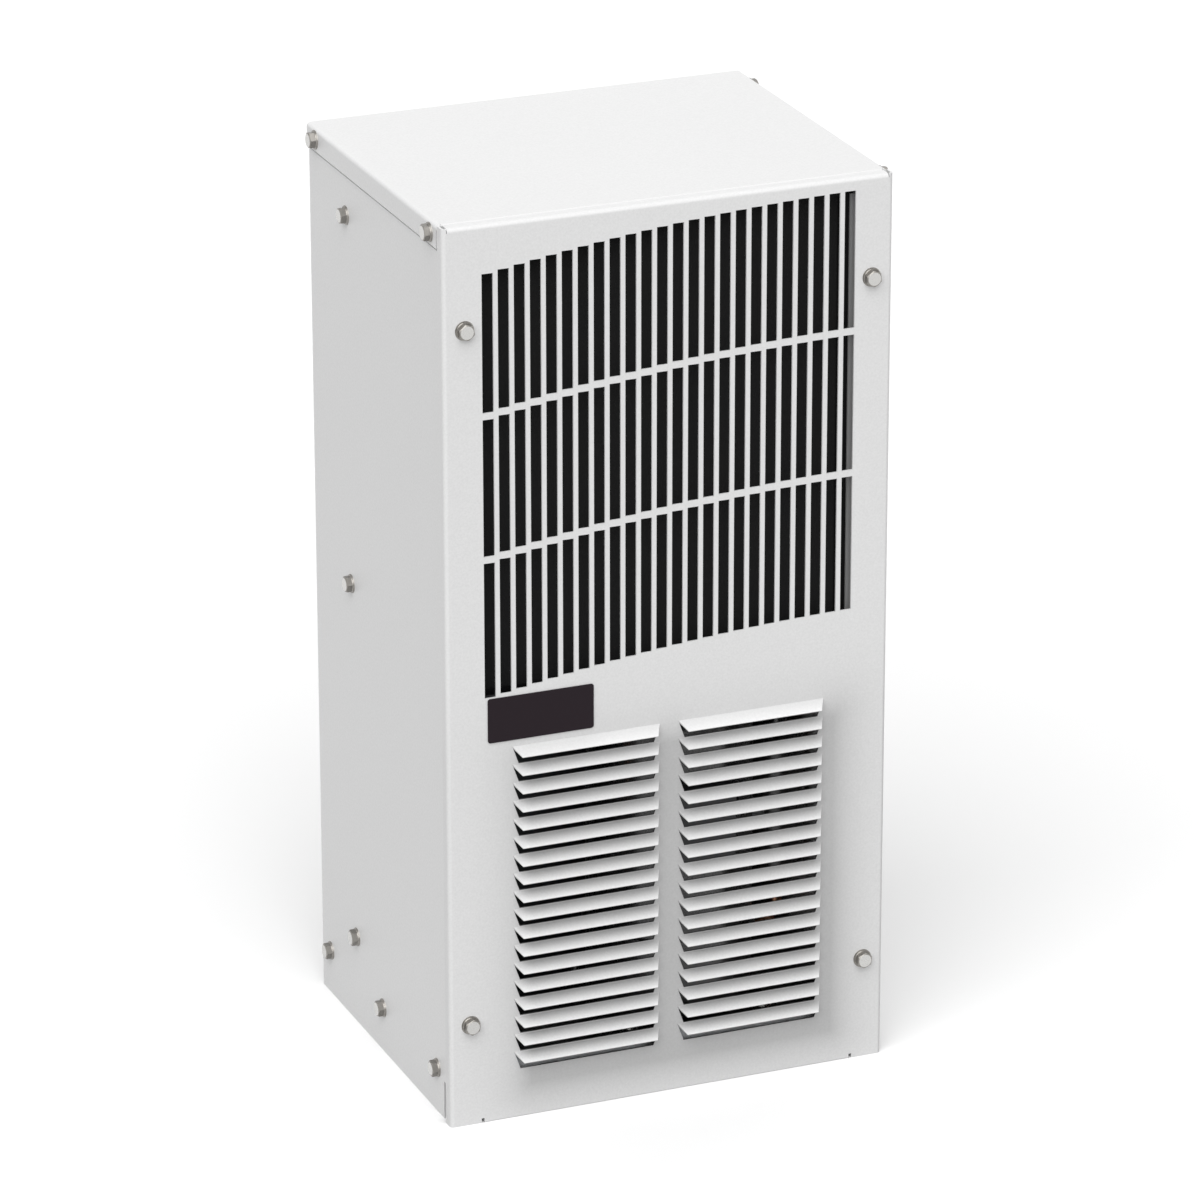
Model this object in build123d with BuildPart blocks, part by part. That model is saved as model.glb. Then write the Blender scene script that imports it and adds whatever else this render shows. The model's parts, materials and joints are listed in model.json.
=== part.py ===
from build123d import *
import os
from math import cos, hypot, radians, sin, sqrt

# Side-mounted enclosure air conditioner, millimetres.
# X runs across the unit, -Y is its front with the grille, +Z is up.
# The origin is the middle of the base, half way between the louver tips and the rear gasket.

# Casing
width = 254.0
height = 508.0
depth = 203.0
sheet = 1.2
bend = 2.4
corner_gap = 0.5

# Front cover
cover_rim = 7.0
cover_gap = 0.3
cover_foot_half = 107.5
relief_width = 1.6
relief_height = 2.6
cover_screw_inset = 12.0
cover_screw_low = 59.0
cover_screw_drop = 56.0

# Intake grille, whose slot rows step along an arch that peaks near the right edge
slot_rows = 3
slot_margin = 24.7
slot_pitch = 8.89
slot_width = 6.1
slot_height = 76.0
slot_web = 3.65
arch_radius = 1320.0
arch_edge_inset = 2.0
arch_drop = 6.9

# Discharge louvers, pressed outwards
louver_columns = 2
louver_pitch = 10.47
louver_width = 84.8
louver_column_gap = 10.5
louver_foot = 38.7
louver_reach = 6.2
louver_fall = 4.4
louver_slant = 3.2
louver_sheet = 0.9
louver_opening = 9.3
louver_head_gap = 3.0

# Name plate, left bare
badge_width = 60.3
badge_height = 25.2
badge_thickness = 0.8
badge_corner = 1.5
badge_left_inset = 23.0
badge_gap = 0.4

# Top panel, side panels and bottom pan
top_side_flange = 12.7
top_front_flange = 8.0
return_flange = 20.4
return_foot = 22.0
return_head_gap = 3.0
side_relief = 1.5
pan_flange = 36.0
flange_clear = 2.0

# Hex washer-head screws
screw_r = 2.4
screw_fit = 0.1
screw_length = 10.5
washer_r = 5.3
washer_thickness = 1.0
hex_across = 8.0
hex_height = 3.2
top_screw_back = 12.7
top_screw_front = 18.0
line_screw_foot = 52.0
line_screw_drop = 36.0
foot_screw_height = 26.0
foot_screw_back = 13.0
foot_screw_front = 23.0

# Back plate, mounting nuts and gasket
plate_flange = 12.0
mount_inset = 17.0
mount_low = 24.0
mount_drop = 24.0
mount_hole_r = 3.3
nut_across = 11.0
nut_height = 5.5
gasket_thickness = 3.0
gasket_width = 10.0
gasket_inset = 8.0
outlet_slots = 13
outlet_slot_width = 7.0
outlet_slot_height = 100.0
outlet_slot_pitch = 12.3
intake_slots = 11
intake_slot_width = 5.0
intake_slot_pitch = 8.6
intake_radius = 47.5

# Partition between the ambient side at the front and the enclosure side at the back
partition_setback = 66.0
partition_flange = 20.0
partition_end_flange = 12.0
lining_thickness = 4.0
lining_gap = 2.0
lining_foot = 40.0
lining_head_gap = 7.0

# Filter mat in its frame, close behind the grille, and the four clips that hold the frame
filter_left_gap = 18.6
filter_right_gap = 18.3
filter_lap = 1.0
filter_head_gap = 8.0
filter_thickness = 6.0
filter_slack = 0.2
frame_wall = 1.0
frame_lip = 4.0
frame_stile = 8.0
clip_sheet = 1.0
clip_bend = 1.2
clip_reach = 9.0
clip_pad = 14.0
clip_height = 16.0
clip_inset = 24.0

# Condenser coil: two upright headers, flat tubes between them and folded fins
coil_gap = 3.0
coil_left_gap = 20.6
coil_right_gap = 27.6
coil_lap = 2.0
coil_head_gap = 9.0
header_r = 9.0
flat_tube_count = 9
flat_tube_depth = 16.0
flat_tube_thickness = 2.0
flat_tube_end = 8.0
fin_folds = 14
fin_thickness = 0.8
fin_header_gap = 1.0
saddle_inset = 20.0
saddle_width = 14.0
saddle_sheet = 1.5
saddle_leg = 12.0

# Condenser fan, its motor and shroud
shroud_gap = 2.0
shroud_lap = 4.0
shroud_head_gap = 4.0
shroud_flange = 10.0
ring_depth = 22.0
throat_margin = 31.6
fan_tip_gap = 3.0
fan_hub_r = 24.0
fan_hub_depth = 22.0
fan_hub_gap = 3.0
fan_blades = 5
blade_root_chord = 32.0
blade_tip_chord = 60.0
blade_root_pitch = 40.0
blade_tip_pitch = 22.0
blade_thickness = 1.8
motor_r = 38.0
motor_length = 38.0
motor_corner = 5.0
motor_gap = 4.0
motor_cavity_r = 26.0
motor_end = 9.0
rotor_r = 22.0
rotor_gap = 2.5
shaft_r = 4.0
shaft_fit = 0.05
bush_r = 8.0
bracket_height = 30.0
bracket_gap = 9.0
bracket_foot = 12.0
bracket_sheet = 1.5

# Compressor on four rubber mounts, in the middle of its bay
compressor_r = 46.0
compressor_headroom = 37.0
compressor_dome = 18.0
compressor_toe = 8.0
weld_band_out = 2.0
weld_band_height = 8.0
weld_band_rise = 45.0
foot_circle_r = 56.0
foot_count = 4
foot_angle = 45.0
foot_lug_r = 11.0
foot_plate = 3.0
grommet_r = 9.0
grommet_height = 17.0
stud_r = 3.0
stud_clear = 0.15
stud_above = 9.0
stud_nut_across = 10.0
stud_nut_height = 5.0
outlet_stub_x = 18.0
outlet_stub_r = 5.5
outlet_stub_height = 12.0
terminal_cover_width = 34.0
terminal_cover_height = 44.0
terminal_cover_out = 8.0
terminal_cover_corner = 4.0
terminal_cover_drop = 40.0

# Suction accumulator beside the compressor
accumulator_gap = 22.6
accumulator_spacing = 72.0
accumulator_back = 18.0
accumulator_r = 16.0
accumulator_foot = 66.0
accumulator_drop = 23.0
accumulator_cone = 9.0
accumulator_neck_r = 6.0
strap_width = 14.0

# Refrigerant pipes
pipe_r = 4.0
pipe_bend = 14.0
capillary_r = 1.5
capillary_bend = 10.0
suction_elbow_z = 48.0
drier_r = 9.5
drier_neck_r = 4.5
drier_neck = 6.0
drier_cone = 8.0
drier_length = 96.0
liquid_pipe_length = 30.0
grommet_wall = 3.0
grommet_flange = 2.0
grommet_flange_thickness = 1.5

# Evaporator coil: two level headers with upright flat tubes between them
evaporator_back = 24.0
evaporator_side_gap = 44.6
evaporator_foot = 55.0
evaporator_head_gap = 36.0
evaporator_tube_count = 9
evaporator_tube_inset = 4.0
evaporator_folds = 10
evaporator_bracket_inset = 11.0
evaporator_bracket_flange = 10.0

# Drain pan and drain tube
drain_margin = 16.0
drain_foot = 24.0
drain_height = 18.0
drain_front = 46.0
drain_wall = 2.0
drain_x = -60.0
drain_y_back = 24.0
drain_bore_r = 4.75
drain_tube_wall = 1.25

# Enclosure-side blower: backward-curved wheel on an external rotor
blower_drop = 114.8
wheel_r = 70.0
wheel_edge = 1.0
wheel_eye_gap = 2.0
wheel_blades = 9
wheel_blade_thickness = 1.6
wheel_blade_sweep = 38.0
wheel_blade_radius = 55.0
wheel_disc = 2.0
wheel_back = 14.0
wheel_depth = 34.0
cup_r = 34.0
cup_wall = 2.5
cup_back = 8.0
cup_front = 44.0
stator_base_r = 38.0
stator_base = 4.0
stator_core_r = 28.0
stator_core_front = 38.0
spindle_r = 3.0
spindle_back = 1.5
inlet_flange_r = 62.0
inlet_flange_thickness = 1.5
inlet_throat_r = 46.0
inlet_throat_wall = 1.5
inlet_overlap = 3.5

# Control pocket in the back plate, with thermostat and supply terminals
pocket_x = 60.0
pocket_drop = 60.0
pocket_width = 66.0
pocket_height = 46.0
pocket_depth = 26.0
pocket_flange = 8.0
knob_offset = 16.0
knob_r = 12.0
knob_height = 11.0
knob_gap = 0.5
knob_grip = 2.0
knob_grip_height = 4.0
knob_hole_clear = 0.4
thermostat_size = 34.0
thermostat_depth = 20.0
thermostat_spindle_depth = 12.0
terminal_width = 26.0
terminal_height = 36.0
terminal_depth = 9.0
terminal_barrier = 4.0
terminal_barrier_wall = 1.6
terminal_poles = 3
terminal_screw_r = 3.2
terminal_screw_height = 1.5

# Electrical box with the run capacitor and the compressor relay
box_width = 62.0
box_depth = 71.0
box_foot = 100.0
box_head = 232.0
box_wall = 1.0
lid_lip = 8.0
lid_gap = 0.3
lid_bend = 1.2
capacitor_width = 50.0
capacitor_thickness = 28.0
capacitor_height = 68.0
capacitor_tab = 6.0
capacitor_gap = 2.0
relay_width = 34.0
relay_depth = 30.0
relay_height = 38.0
relay_base = 3.0
relay_base_margin = 3.0
relay_drop = 8.0

# Datum faces of the casing
front_y = louver_reach - (depth + louver_reach + gasket_thickness) / 2
rear_y = front_y + depth
wall_x = width / 2 - sheet
inner_x = wall_x - sheet
rim_y = front_y + cover_rim
return_y = rim_y + cover_gap
plate_y = rear_y - sheet
partition_y = rear_y - partition_setback
lining_y = partition_y + sheet
flange_low = pan_flange + flange_clear
flange_high = height - top_side_flange
sheet_top = height - sheet
wall_top = height - bend
plate_half = inner_x - bend - corner_gap

# Grille: each column of slots hangs from the arch, and the lowest one sets where the coil starts
slot_columns = int((width - 2 * slot_margin) / slot_pitch) + 1
slot_x = [(column - (slot_columns - 1) / 2) * slot_pitch for column in range(slot_columns)]
arch_x = width / 2 - arch_edge_inset
crests = [height - arch_drop - arch_radius + sqrt(arch_radius**2 - (x - arch_x) ** 2) for x in slot_x]
grille_foot = min(crests) - slot_rows * slot_height - (slot_rows - 1) * slot_web

# Front bay: filter, condenser coil, shroud, fan
filter_left = filter_left_gap - inner_x
filter_right = inner_x - filter_right_gap
filter_foot = grille_foot - filter_lap
filter_head = sheet_top - filter_head_gap
frame_depth = filter_thickness + 2 * filter_slack + 2 * frame_wall
frame_back = return_y + sheet + frame_depth
coil_left = coil_left_gap - inner_x
coil_right = inner_x - coil_right_gap
coil_foot = grille_foot - coil_lap
coil_head = sheet_top - coil_head_gap
coil_y = frame_back + clip_sheet + coil_gap + header_r
shroud_y = coil_y + header_r + shroud_gap
fan_x = (coil_left + coil_right) / 2
fan_z = (coil_foot + coil_head) / 2

# Rear bay, from the top down: blower, control pocket, evaporator
blower_z = sheet_top - blower_drop
pocket_z = blower_z - wheel_r - pocket_drop
evaporator_y = rear_y - evaporator_back
evaporator_half = inner_x - evaporator_side_gap
evaporator_head = pocket_z - pocket_height / 2 - pocket_flange - evaporator_head_gap

# Compressor bay
compressor_y = (return_y + partition_y) / 2
accumulator_x = inner_x - accumulator_gap
accumulator_y = compressor_y + accumulator_back
compressor_x = accumulator_x - accumulator_spacing


def level_at(z):
    """A level plane: its x is X and its y is Y."""
    return Plane.XY.offset(z)


def face_at(y):
    """An upright plane across the unit: its x is X, its y is Z and it looks to the front."""
    return Plane.XZ.offset(-y)


def side_at(x):
    """An upright plane along the unit: its x is Y, its y is Z and it looks to the right."""
    return Plane.YZ.offset(x)


def rear_facing(x, y, z):
    """An upright plane at a point: its x is X, its y is -Z and it looks to the rear."""
    return Plane(origin=(x, y, z), x_dir=(1, 0, 0), z_dir=(0, 1, 0))


def folded_sheet(plane, outline, length, thickness=sheet, corner=bend):
    """A sheet folded along an outline of its outer side, with its thickness on the left of the path."""
    with BuildPart() as folded:
        with BuildSketch(plane):
            with BuildLine():
                FilletPolyline(*outline, radius=corner)
                offset(amount=thickness, side=Side.LEFT)
            make_face()
        extrude(amount=length)
    return folded.part


def bent_pipe(points, pipe_radius, bend_radius):
    """A round pipe along straight runs joined by arcs."""
    with BuildPart() as pipe:
        with BuildLine() as route:
            FilletPolyline(*points, radius=bend_radius)
        with BuildSketch(Plane(origin=route.line @ 0, z_dir=route.line % 0)):
            Circle(pipe_radius)
        sweep(path=route.line)
    return pipe.part


def spun_can(x, y, foot, head, body_r, neck_r, neck, cone):
    """An upright can whose ends are drawn in to a neck."""
    with BuildPart() as can:
        with BuildSketch(Plane(origin=(x, y, 0), x_dir=(1, 0, 0), z_dir=(0, -1, 0))):
            Polygon(
                (0, foot),
                (neck_r, foot),
                (neck_r, foot + neck),
                (body_r, foot + neck + cone),
                (body_r, head - neck - cone),
                (neck_r, head - neck),
                (neck_r, head),
                (0, head),
                align=None,
            )
        revolve(axis=Axis((x, y, 0), (0, 0, 1)))
    return can.part


def washer_head_screws(seats):
    """Hex washer-head screws, one on each seat plane, with the shank behind it."""
    with BuildPart() as screws:
        with BuildSketch(*seats):
            Circle(washer_r)
        extrude(amount=washer_thickness)
        with BuildSketch(*[seat.offset(washer_thickness) for seat in seats]):
            RegularPolygon(radius=hex_across / 2, side_count=6, major_radius=False)
        extrude(amount=hex_height)
        with BuildSketch(*seats):
            Circle(screw_r)
        extrude(amount=-screw_length)
    return screws.part


def screw_holes(seats, clearance):
    """Round cutters along the shanks of the screws on the given seats."""
    with BuildPart() as holes:
        with BuildSketch(*seats):
            Circle(screw_r + clearance)
        extrude(amount=-screw_length)
    return holes.part


def fin_outline(length, gap, folds):
    """Corner points of a folded fin whose crests touch the tubes on both sides of its gap."""
    rise = gap - fin_thickness
    step = length / folds
    lower = [(i * step - length / 2, rise * (i % 2)) for i in range(folds + 1)]
    upper = [(x, y + fin_thickness) for x, y in reversed(lower)]
    return lower + upper


def seat_on_side(side, x, y, z):
    """A screw seat on the outer face of a side wall, looking away from the casing."""
    return Plane(origin=(side * x, y, z), x_dir=(0, 0, 1), z_dir=(side, 0, 0))


# Screw seats: each is a plane on the sheet under the washer, looking outwards
cover_seats = [
    Plane(origin=(side * (width / 2 - cover_screw_inset), front_y, z), x_dir=(1, 0, 0), z_dir=(0, -1, 0))
    for side in (-1, 1)
    for z in (cover_screw_low, height - cover_screw_drop)
]
top_seats = [
    seat_on_side(side, width / 2, y, height - top_side_flange / 2)
    for side in (-1, 1)
    for y in (rear_y - top_screw_back, front_y + top_screw_front)
]
line_y = partition_y + partition_flange / 2
line_top = height - line_screw_drop
foot_ys = (front_y + foot_screw_front, rear_y - foot_screw_back)
side_places = [(line_y, z) for z in (line_screw_foot, (line_screw_foot + line_top) / 2, line_top)]
side_places += [(y, foot_screw_height) for y in (foot_ys[0], sum(foot_ys) / 2, foot_ys[1])]
side_seats = [seat_on_side(side, wall_x, y, z) for side in (-1, 1) for y, z in side_places]

# Louver blade of the front cover: it hangs from the outer face of the sheet, with drawn-in ends
blade_slope = louver_fall / louver_reach
blade_run = hypot(louver_reach, louver_fall)
tip_y = -louver_reach + louver_sheet * louver_fall / blade_run
tip_z = -louver_fall - louver_sheet * louver_reach / blade_run
blade_section = [
    (0, 0),
    (-louver_reach, -louver_fall),
    (tip_y, tip_z),
    (sheet, tip_z + (sheet - tip_y) * blade_slope),
    (sheet, sheet * blade_slope),
]
blade_plan = [
    (-louver_width / 2, sheet),
    (-louver_width / 2, 0),
    (-louver_width / 2 + louver_slant, -louver_reach),
    (louver_width / 2 - louver_slant, -louver_reach),
    (louver_width / 2, 0),
    (louver_width / 2, sheet),
]
with BuildPart() as louver_blade:
    with BuildSketch(side_at(-louver_width / 2)):
        Polygon(*blade_section, align=None)
    extrude(amount=louver_width)
    with BuildSketch(level_at(-2 * louver_opening)):
        Polygon(*blade_plan, align=None)
    extrude(amount=3 * louver_opening, mode=Mode.INTERSECT)

# Front cover: the name plate sits under the grille, and the louvers fill the height below it
badge_foot = grille_foot - badge_gap - badge_height
louver_rows = int((badge_foot - louver_head_gap - louver_foot) / louver_pitch) + 1
louver_places = [
    (
        (column - (louver_columns - 1) / 2) * (louver_width + louver_column_gap),
        louver_foot + row * louver_pitch,
    )
    for column in range(louver_columns)
    for row in range(louver_rows)
]
louver_hole = [
    (-louver_width / 2, 0),
    (-louver_width / 2 + louver_slant, -louver_opening),
    (louver_width / 2 - louver_slant, -louver_opening),
    (louver_width / 2, 0),
]
slot_places = [
    (x, crest - slot_height / 2 - row * (slot_height + slot_web))
    for x, crest in zip(slot_x, crests)
    for row in range(slot_rows)
]

# Front cover: face and side rims in one fold, then the top and foot rims between corner reliefs
head_half = width / 2 - bend
cover_body = folded_sheet(
    level_at(0),
    [(-width / 2, rim_y), (-width / 2, front_y), (width / 2, front_y), (width / 2, rim_y)],
    height,
)
cover_head = folded_sheet(
    side_at(-head_half),
    [(rim_y, height), (front_y, height), (front_y, height - 2 * cover_rim)],
    2 * head_half,
)
cover_foot = folded_sheet(
    side_at(-cover_foot_half),
    [(front_y, 2 * cover_rim), (front_y, 0), (rim_y, 0)],
    2 * cover_foot_half,
)
with BuildPart() as front_cover:
    add(cover_body)
    with BuildSketch(face_at(rim_y)):
        with Locations((0, height - bend / 2)):
            Rectangle(2 * head_half + 2 * corner_gap, bend)
        with Locations((0, relief_height / 2)):
            Rectangle(2 * cover_foot_half + 2 * relief_width, relief_height)
    extrude(amount=cover_rim, mode=Mode.SUBTRACT)
    add(cover_head)
    add(cover_foot)
    with BuildSketch(face_at(front_y)):
        with Locations(*slot_places):
            Rectangle(slot_width, slot_height)
        with Locations(*louver_places):
            Polygon(*louver_hole, align=None)
    extrude(amount=-sheet, mode=Mode.SUBTRACT)
    with Locations(*[(x, front_y, z) for x, z in louver_places]):
        add(louver_blade.part)
    add(screw_holes(cover_seats, screw_fit), mode=Mode.SUBTRACT)

with BuildPart() as name_plate:
    with BuildSketch(face_at(front_y)):
        with Locations((-width / 2 + badge_left_inset + badge_width / 2, badge_foot + badge_height / 2)):
            RectangleRounded(badge_width, badge_height, badge_corner)
    extrude(amount=badge_thickness)

# Top panel: side flanges outside the side panels, and a front flange between them
top_body = folded_sheet(
    face_at(rear_y),
    [
        (width / 2, height - top_side_flange),
        (width / 2, height),
        (-width / 2, height),
        (-width / 2, height - top_side_flange),
    ],
    rear_y - return_y,
)
top_front = folded_sheet(
    side_at(-inner_x + corner_gap),
    [(return_y + 2 * top_front_flange, height), (return_y, height), (return_y, height - top_front_flange)],
    2 * (inner_x - corner_gap),
)
with BuildPart() as top_panel:
    add(top_body)
    with BuildSketch(level_at(height)):
        with Locations((0, return_y + bend / 2)):
            Rectangle(2 * inner_x, bend)
    extrude(amount=-top_side_flange, mode=Mode.SUBTRACT)
    add(top_front)
    add(screw_holes(top_seats, screw_fit), mode=Mode.SUBTRACT)

# Side panels: a wall with a front return flange that stops short of the foot and the head
return_head = height - top_front_flange - return_head_gap
side_fold = folded_sheet(
    level_at(return_foot),
    [(wall_x - return_flange, return_y), (wall_x, return_y), (wall_x, return_y + 2 * bend)],
    return_head - return_foot,
)
with BuildPart() as right_side_panel:
    with BuildSketch(side_at(inner_x)):
        with Locations(((return_y + bend + rear_y) / 2, wall_top / 2)):
            Rectangle(rear_y - return_y - bend, wall_top)
        with Locations((return_y + (side_relief + bend) / 2, return_foot / 2)):
            Rectangle(bend - side_relief, return_foot)
    extrude(amount=sheet)
    add(side_fold)
    add(screw_holes(cover_seats, 0), mode=Mode.SUBTRACT)
    add(screw_holes(top_seats, 0), mode=Mode.SUBTRACT)
    add(screw_holes(side_seats, screw_fit), mode=Mode.SUBTRACT)

with BuildPart() as left_side_panel:
    add(right_side_panel.part)
    mirror(about=Plane.YZ, mode=Mode.REPLACE)

# Bottom pan: flanges inside the side panels and behind their return flanges
pan_front = return_y + bend
pan_half = plate_half
pan_body = folded_sheet(
    face_at(plate_y),
    [(-inner_x, pan_flange), (-inner_x, 0), (inner_x, 0), (inner_x, pan_flange)],
    plate_y - pan_front,
)
pan_lip = folded_sheet(
    side_at(-pan_half),
    [(pan_front, pan_flange), (pan_front, 0), (pan_front + 2 * bend, 0)],
    2 * pan_half,
)
drain_y = rear_y - drain_y_back
drain_tube_r = drain_bore_r + drain_tube_wall
with BuildPart() as bottom_pan:
    add(pan_body)
    with BuildSketch(level_at(0)):
        with Locations((0, pan_front + bend / 2)):
            Rectangle(2 * pan_half + 2 * corner_gap, bend)
    extrude(amount=sheet, mode=Mode.SUBTRACT)
    add(pan_lip)
    with BuildSketch(level_at(0)):
        with Locations((drain_x, drain_y)):
            Circle(drain_tube_r)
    extrude(amount=sheet, mode=Mode.SUBTRACT)
    add(screw_holes(side_seats, 0), mode=Mode.SUBTRACT)

with BuildPart() as cover_screws:
    add(washer_head_screws(cover_seats))

with BuildPart() as top_screws:
    add(washer_head_screws(top_seats))

with BuildPart() as side_screws:
    add(washer_head_screws(side_seats))

# Back plate: folded forwards on all sides, with slotted openings for the enclosure air
back_body = folded_sheet(
    level_at(flange_low),
    [
        (inner_x, rear_y - plate_flange),
        (inner_x, rear_y),
        (-inner_x, rear_y),
        (-inner_x, rear_y - plate_flange),
    ],
    flange_high - flange_low,
)
back_ends = folded_sheet(
    side_at(-plate_half),
    [
        (rear_y - plate_flange, sheet),
        (rear_y, sheet),
        (rear_y, sheet_top),
        (rear_y - plate_flange, sheet_top),
    ],
    2 * plate_half,
)
mount_x = width / 2 - mount_inset
mount_high = height - mount_drop
mount_places = [(side * mount_x, z) for side in (-1, 1) for z in (mount_low, mount_high)]
intake_x = [(i - (intake_slots - 1) / 2) * intake_slot_pitch for i in range(intake_slots)]
with BuildPart() as back_plate:
    add(back_body)
    add(back_ends)
    with BuildSketch(face_at(rear_y)):
        with Locations(*mount_places):
            Circle(mount_hole_r)
        with Locations((0, (evaporator_foot + evaporator_head) / 2)):
            with GridLocations(outlet_slot_pitch, 0, outlet_slots, 1):
                Rectangle(outlet_slot_width, outlet_slot_height)
        for x in intake_x:
            with Locations((x, blower_z)):
                Rectangle(intake_slot_width, 2 * sqrt(intake_radius**2 - x**2))
        with Locations((pocket_x, pocket_z)):
            Rectangle(pocket_width, pocket_height)
    extrude(amount=sheet, mode=Mode.SUBTRACT)

with BuildPart() as mounting_nuts:
    with BuildSketch(face_at(plate_y)):
        with Locations(*mount_places):
            RegularPolygon(radius=nut_across / 2, side_count=6, major_radius=False)
            Circle(mount_hole_r, mode=Mode.SUBTRACT)
    extrude(amount=nut_height)

gasket_half = mount_x - gasket_inset
gasket_foot = mount_low - gasket_inset
gasket_head = mount_high + gasket_inset
with BuildPart() as rear_gasket:
    with BuildSketch(face_at(rear_y)):
        with Locations((0, (gasket_foot + gasket_head) / 2)):
            Rectangle(2 * gasket_half, gasket_head - gasket_foot)
            Rectangle(
                2 * (gasket_half - gasket_width),
                gasket_head - gasket_foot - 2 * gasket_width,
                mode=Mode.SUBTRACT,
            )
    extrude(amount=-gasket_thickness)

# Partition: side flanges to the rear for the line of screws, end flanges to the rear
partition_body = folded_sheet(
    level_at(flange_low),
    [
        (-inner_x, partition_y + partition_flange),
        (-inner_x, partition_y),
        (inner_x, partition_y),
        (inner_x, partition_y + partition_flange),
    ],
    flange_high - flange_low,
)
partition_ends = folded_sheet(
    side_at(-plate_half),
    [
        (partition_y + partition_end_flange, sheet_top),
        (partition_y, sheet_top),
        (partition_y, sheet),
        (partition_y + partition_end_flange, sheet),
    ],
    2 * plate_half,
)
pipe_passes = [(accumulator_x, evaporator_head, pipe_r), (coil_left, evaporator_foot, capillary_r)]
with BuildPart() as partition:
    add(partition_body)
    add(partition_ends)
    with BuildSketch(face_at(partition_y)):
        for x, z, r in pipe_passes:
            with Locations((x, z)):
                Circle(r + grommet_wall)
    extrude(amount=-sheet, mode=Mode.SUBTRACT)
    add(screw_holes(side_seats, 0), mode=Mode.SUBTRACT)

with BuildPart() as pipe_grommets:
    for x, z, r in pipe_passes:
        with BuildSketch(face_at(lining_y)):
            with Locations((x, z)):
                Circle(r + grommet_wall)
        extrude(amount=sheet)
        with BuildSketch(face_at(partition_y)):
            with Locations((x, z)):
                Circle(r + grommet_wall + grommet_flange)
        extrude(amount=grommet_flange_thickness)
        with BuildSketch(face_at(lining_y)):
            with Locations((x, z)):
                Circle(r)
        extrude(amount=sheet + grommet_flange_thickness, mode=Mode.SUBTRACT)

lining_head = sheet_top - lining_head_gap
with BuildPart() as partition_lining:
    with BuildSketch(face_at(lining_y + lining_thickness)):
        with Locations((0, (lining_foot + lining_head) / 2)):
            Rectangle(2 * (plate_half - lining_gap), lining_head - lining_foot)
        with Locations((0, blower_z)):
            Circle(stator_base_r + lining_gap, mode=Mode.SUBTRACT)
        for x, z, r in pipe_passes:
            with Locations((x, z)):
                Circle(r + grommet_wall, mode=Mode.SUBTRACT)
    extrude(amount=lining_thickness)

# Filter mat and the channel frame around it
filter_mid = ((filter_left + filter_right) / 2, (filter_foot + filter_head) / 2)
filter_width = filter_right - filter_left
filter_height = filter_head - filter_foot
mat_back = frame_back - frame_wall - filter_slack
with BuildPart() as air_filter:
    with BuildSketch(face_at(mat_back)):
        with Locations(filter_mid):
            Rectangle(filter_width, filter_height)
    extrude(amount=filter_thickness)

frame_opening = 2 * (frame_lip - frame_wall)
extra_stile = frame_stile - frame_lip
with BuildPart() as filter_frame:
    with BuildSketch(face_at(frame_back)):
        with Locations(filter_mid):
            Rectangle(filter_width + 2 * frame_wall, filter_height + 2 * frame_wall)
        with Locations((filter_mid[0] - extra_stile / 2, filter_mid[1])):
            Rectangle(
                filter_width - frame_opening - extra_stile,
                filter_height - frame_opening,
                mode=Mode.SUBTRACT,
            )
    extrude(amount=frame_depth)
    with BuildSketch(face_at(frame_back - frame_wall)):
        with Locations(filter_mid):
            Rectangle(filter_width, filter_height)
    extrude(amount=frame_depth - 2 * frame_wall, mode=Mode.SUBTRACT)


def filter_clips(edge):
    """Two clips on the right return flange that reach round a frame edge to hold it from behind."""
    riser = edge + clip_bend
    clip = folded_sheet(
        level_at(-clip_height / 2),
        [
            (edge - clip_reach, frame_back),
            (riser, frame_back),
            (riser, return_y + sheet),
            (wall_x - return_flange + clip_pad, return_y + sheet),
        ],
        clip_height,
        thickness=clip_sheet,
        corner=clip_bend,
    )
    with BuildPart() as pair:
        with Locations((0, 0, filter_foot + clip_inset), (0, 0, filter_head - clip_inset)):
            add(clip)
    return pair.part


with BuildPart() as frame_clips:
    add(filter_clips(frame_wall - filter_left))
    mirror(about=Plane.YZ, mode=Mode.REPLACE)
    add(filter_clips(filter_right + frame_wall))

# Condenser coil
tube_low = coil_foot + flat_tube_end
tube_pitch = (coil_head - coil_foot - 2 * flat_tube_end) / (flat_tube_count - 1)
tube_levels = [tube_low + i * tube_pitch for i in range(flat_tube_count)]
with BuildPart() as condenser_coil:
    with BuildSketch(level_at(coil_foot)):
        with Locations((coil_left, coil_y), (coil_right, coil_y)):
            Circle(header_r)
    extrude(amount=coil_head - coil_foot)
    with Locations(*[(fan_x, coil_y, z) for z in tube_levels]):
        Box(coil_right - coil_left, flat_tube_depth, flat_tube_thickness)

fin_length = coil_right - coil_left - 2 * (header_r + fin_header_gap)
with BuildPart() as condenser_fins:
    with BuildSketch(face_at(coil_y + flat_tube_depth / 2)):
        with Locations(*[(fan_x, z + flat_tube_thickness / 2) for z in tube_levels[:-1]]):
            Polygon(*fin_outline(fin_length, tube_pitch - flat_tube_thickness, fin_folds), align=None)
    extrude(amount=flat_tube_depth)

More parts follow.
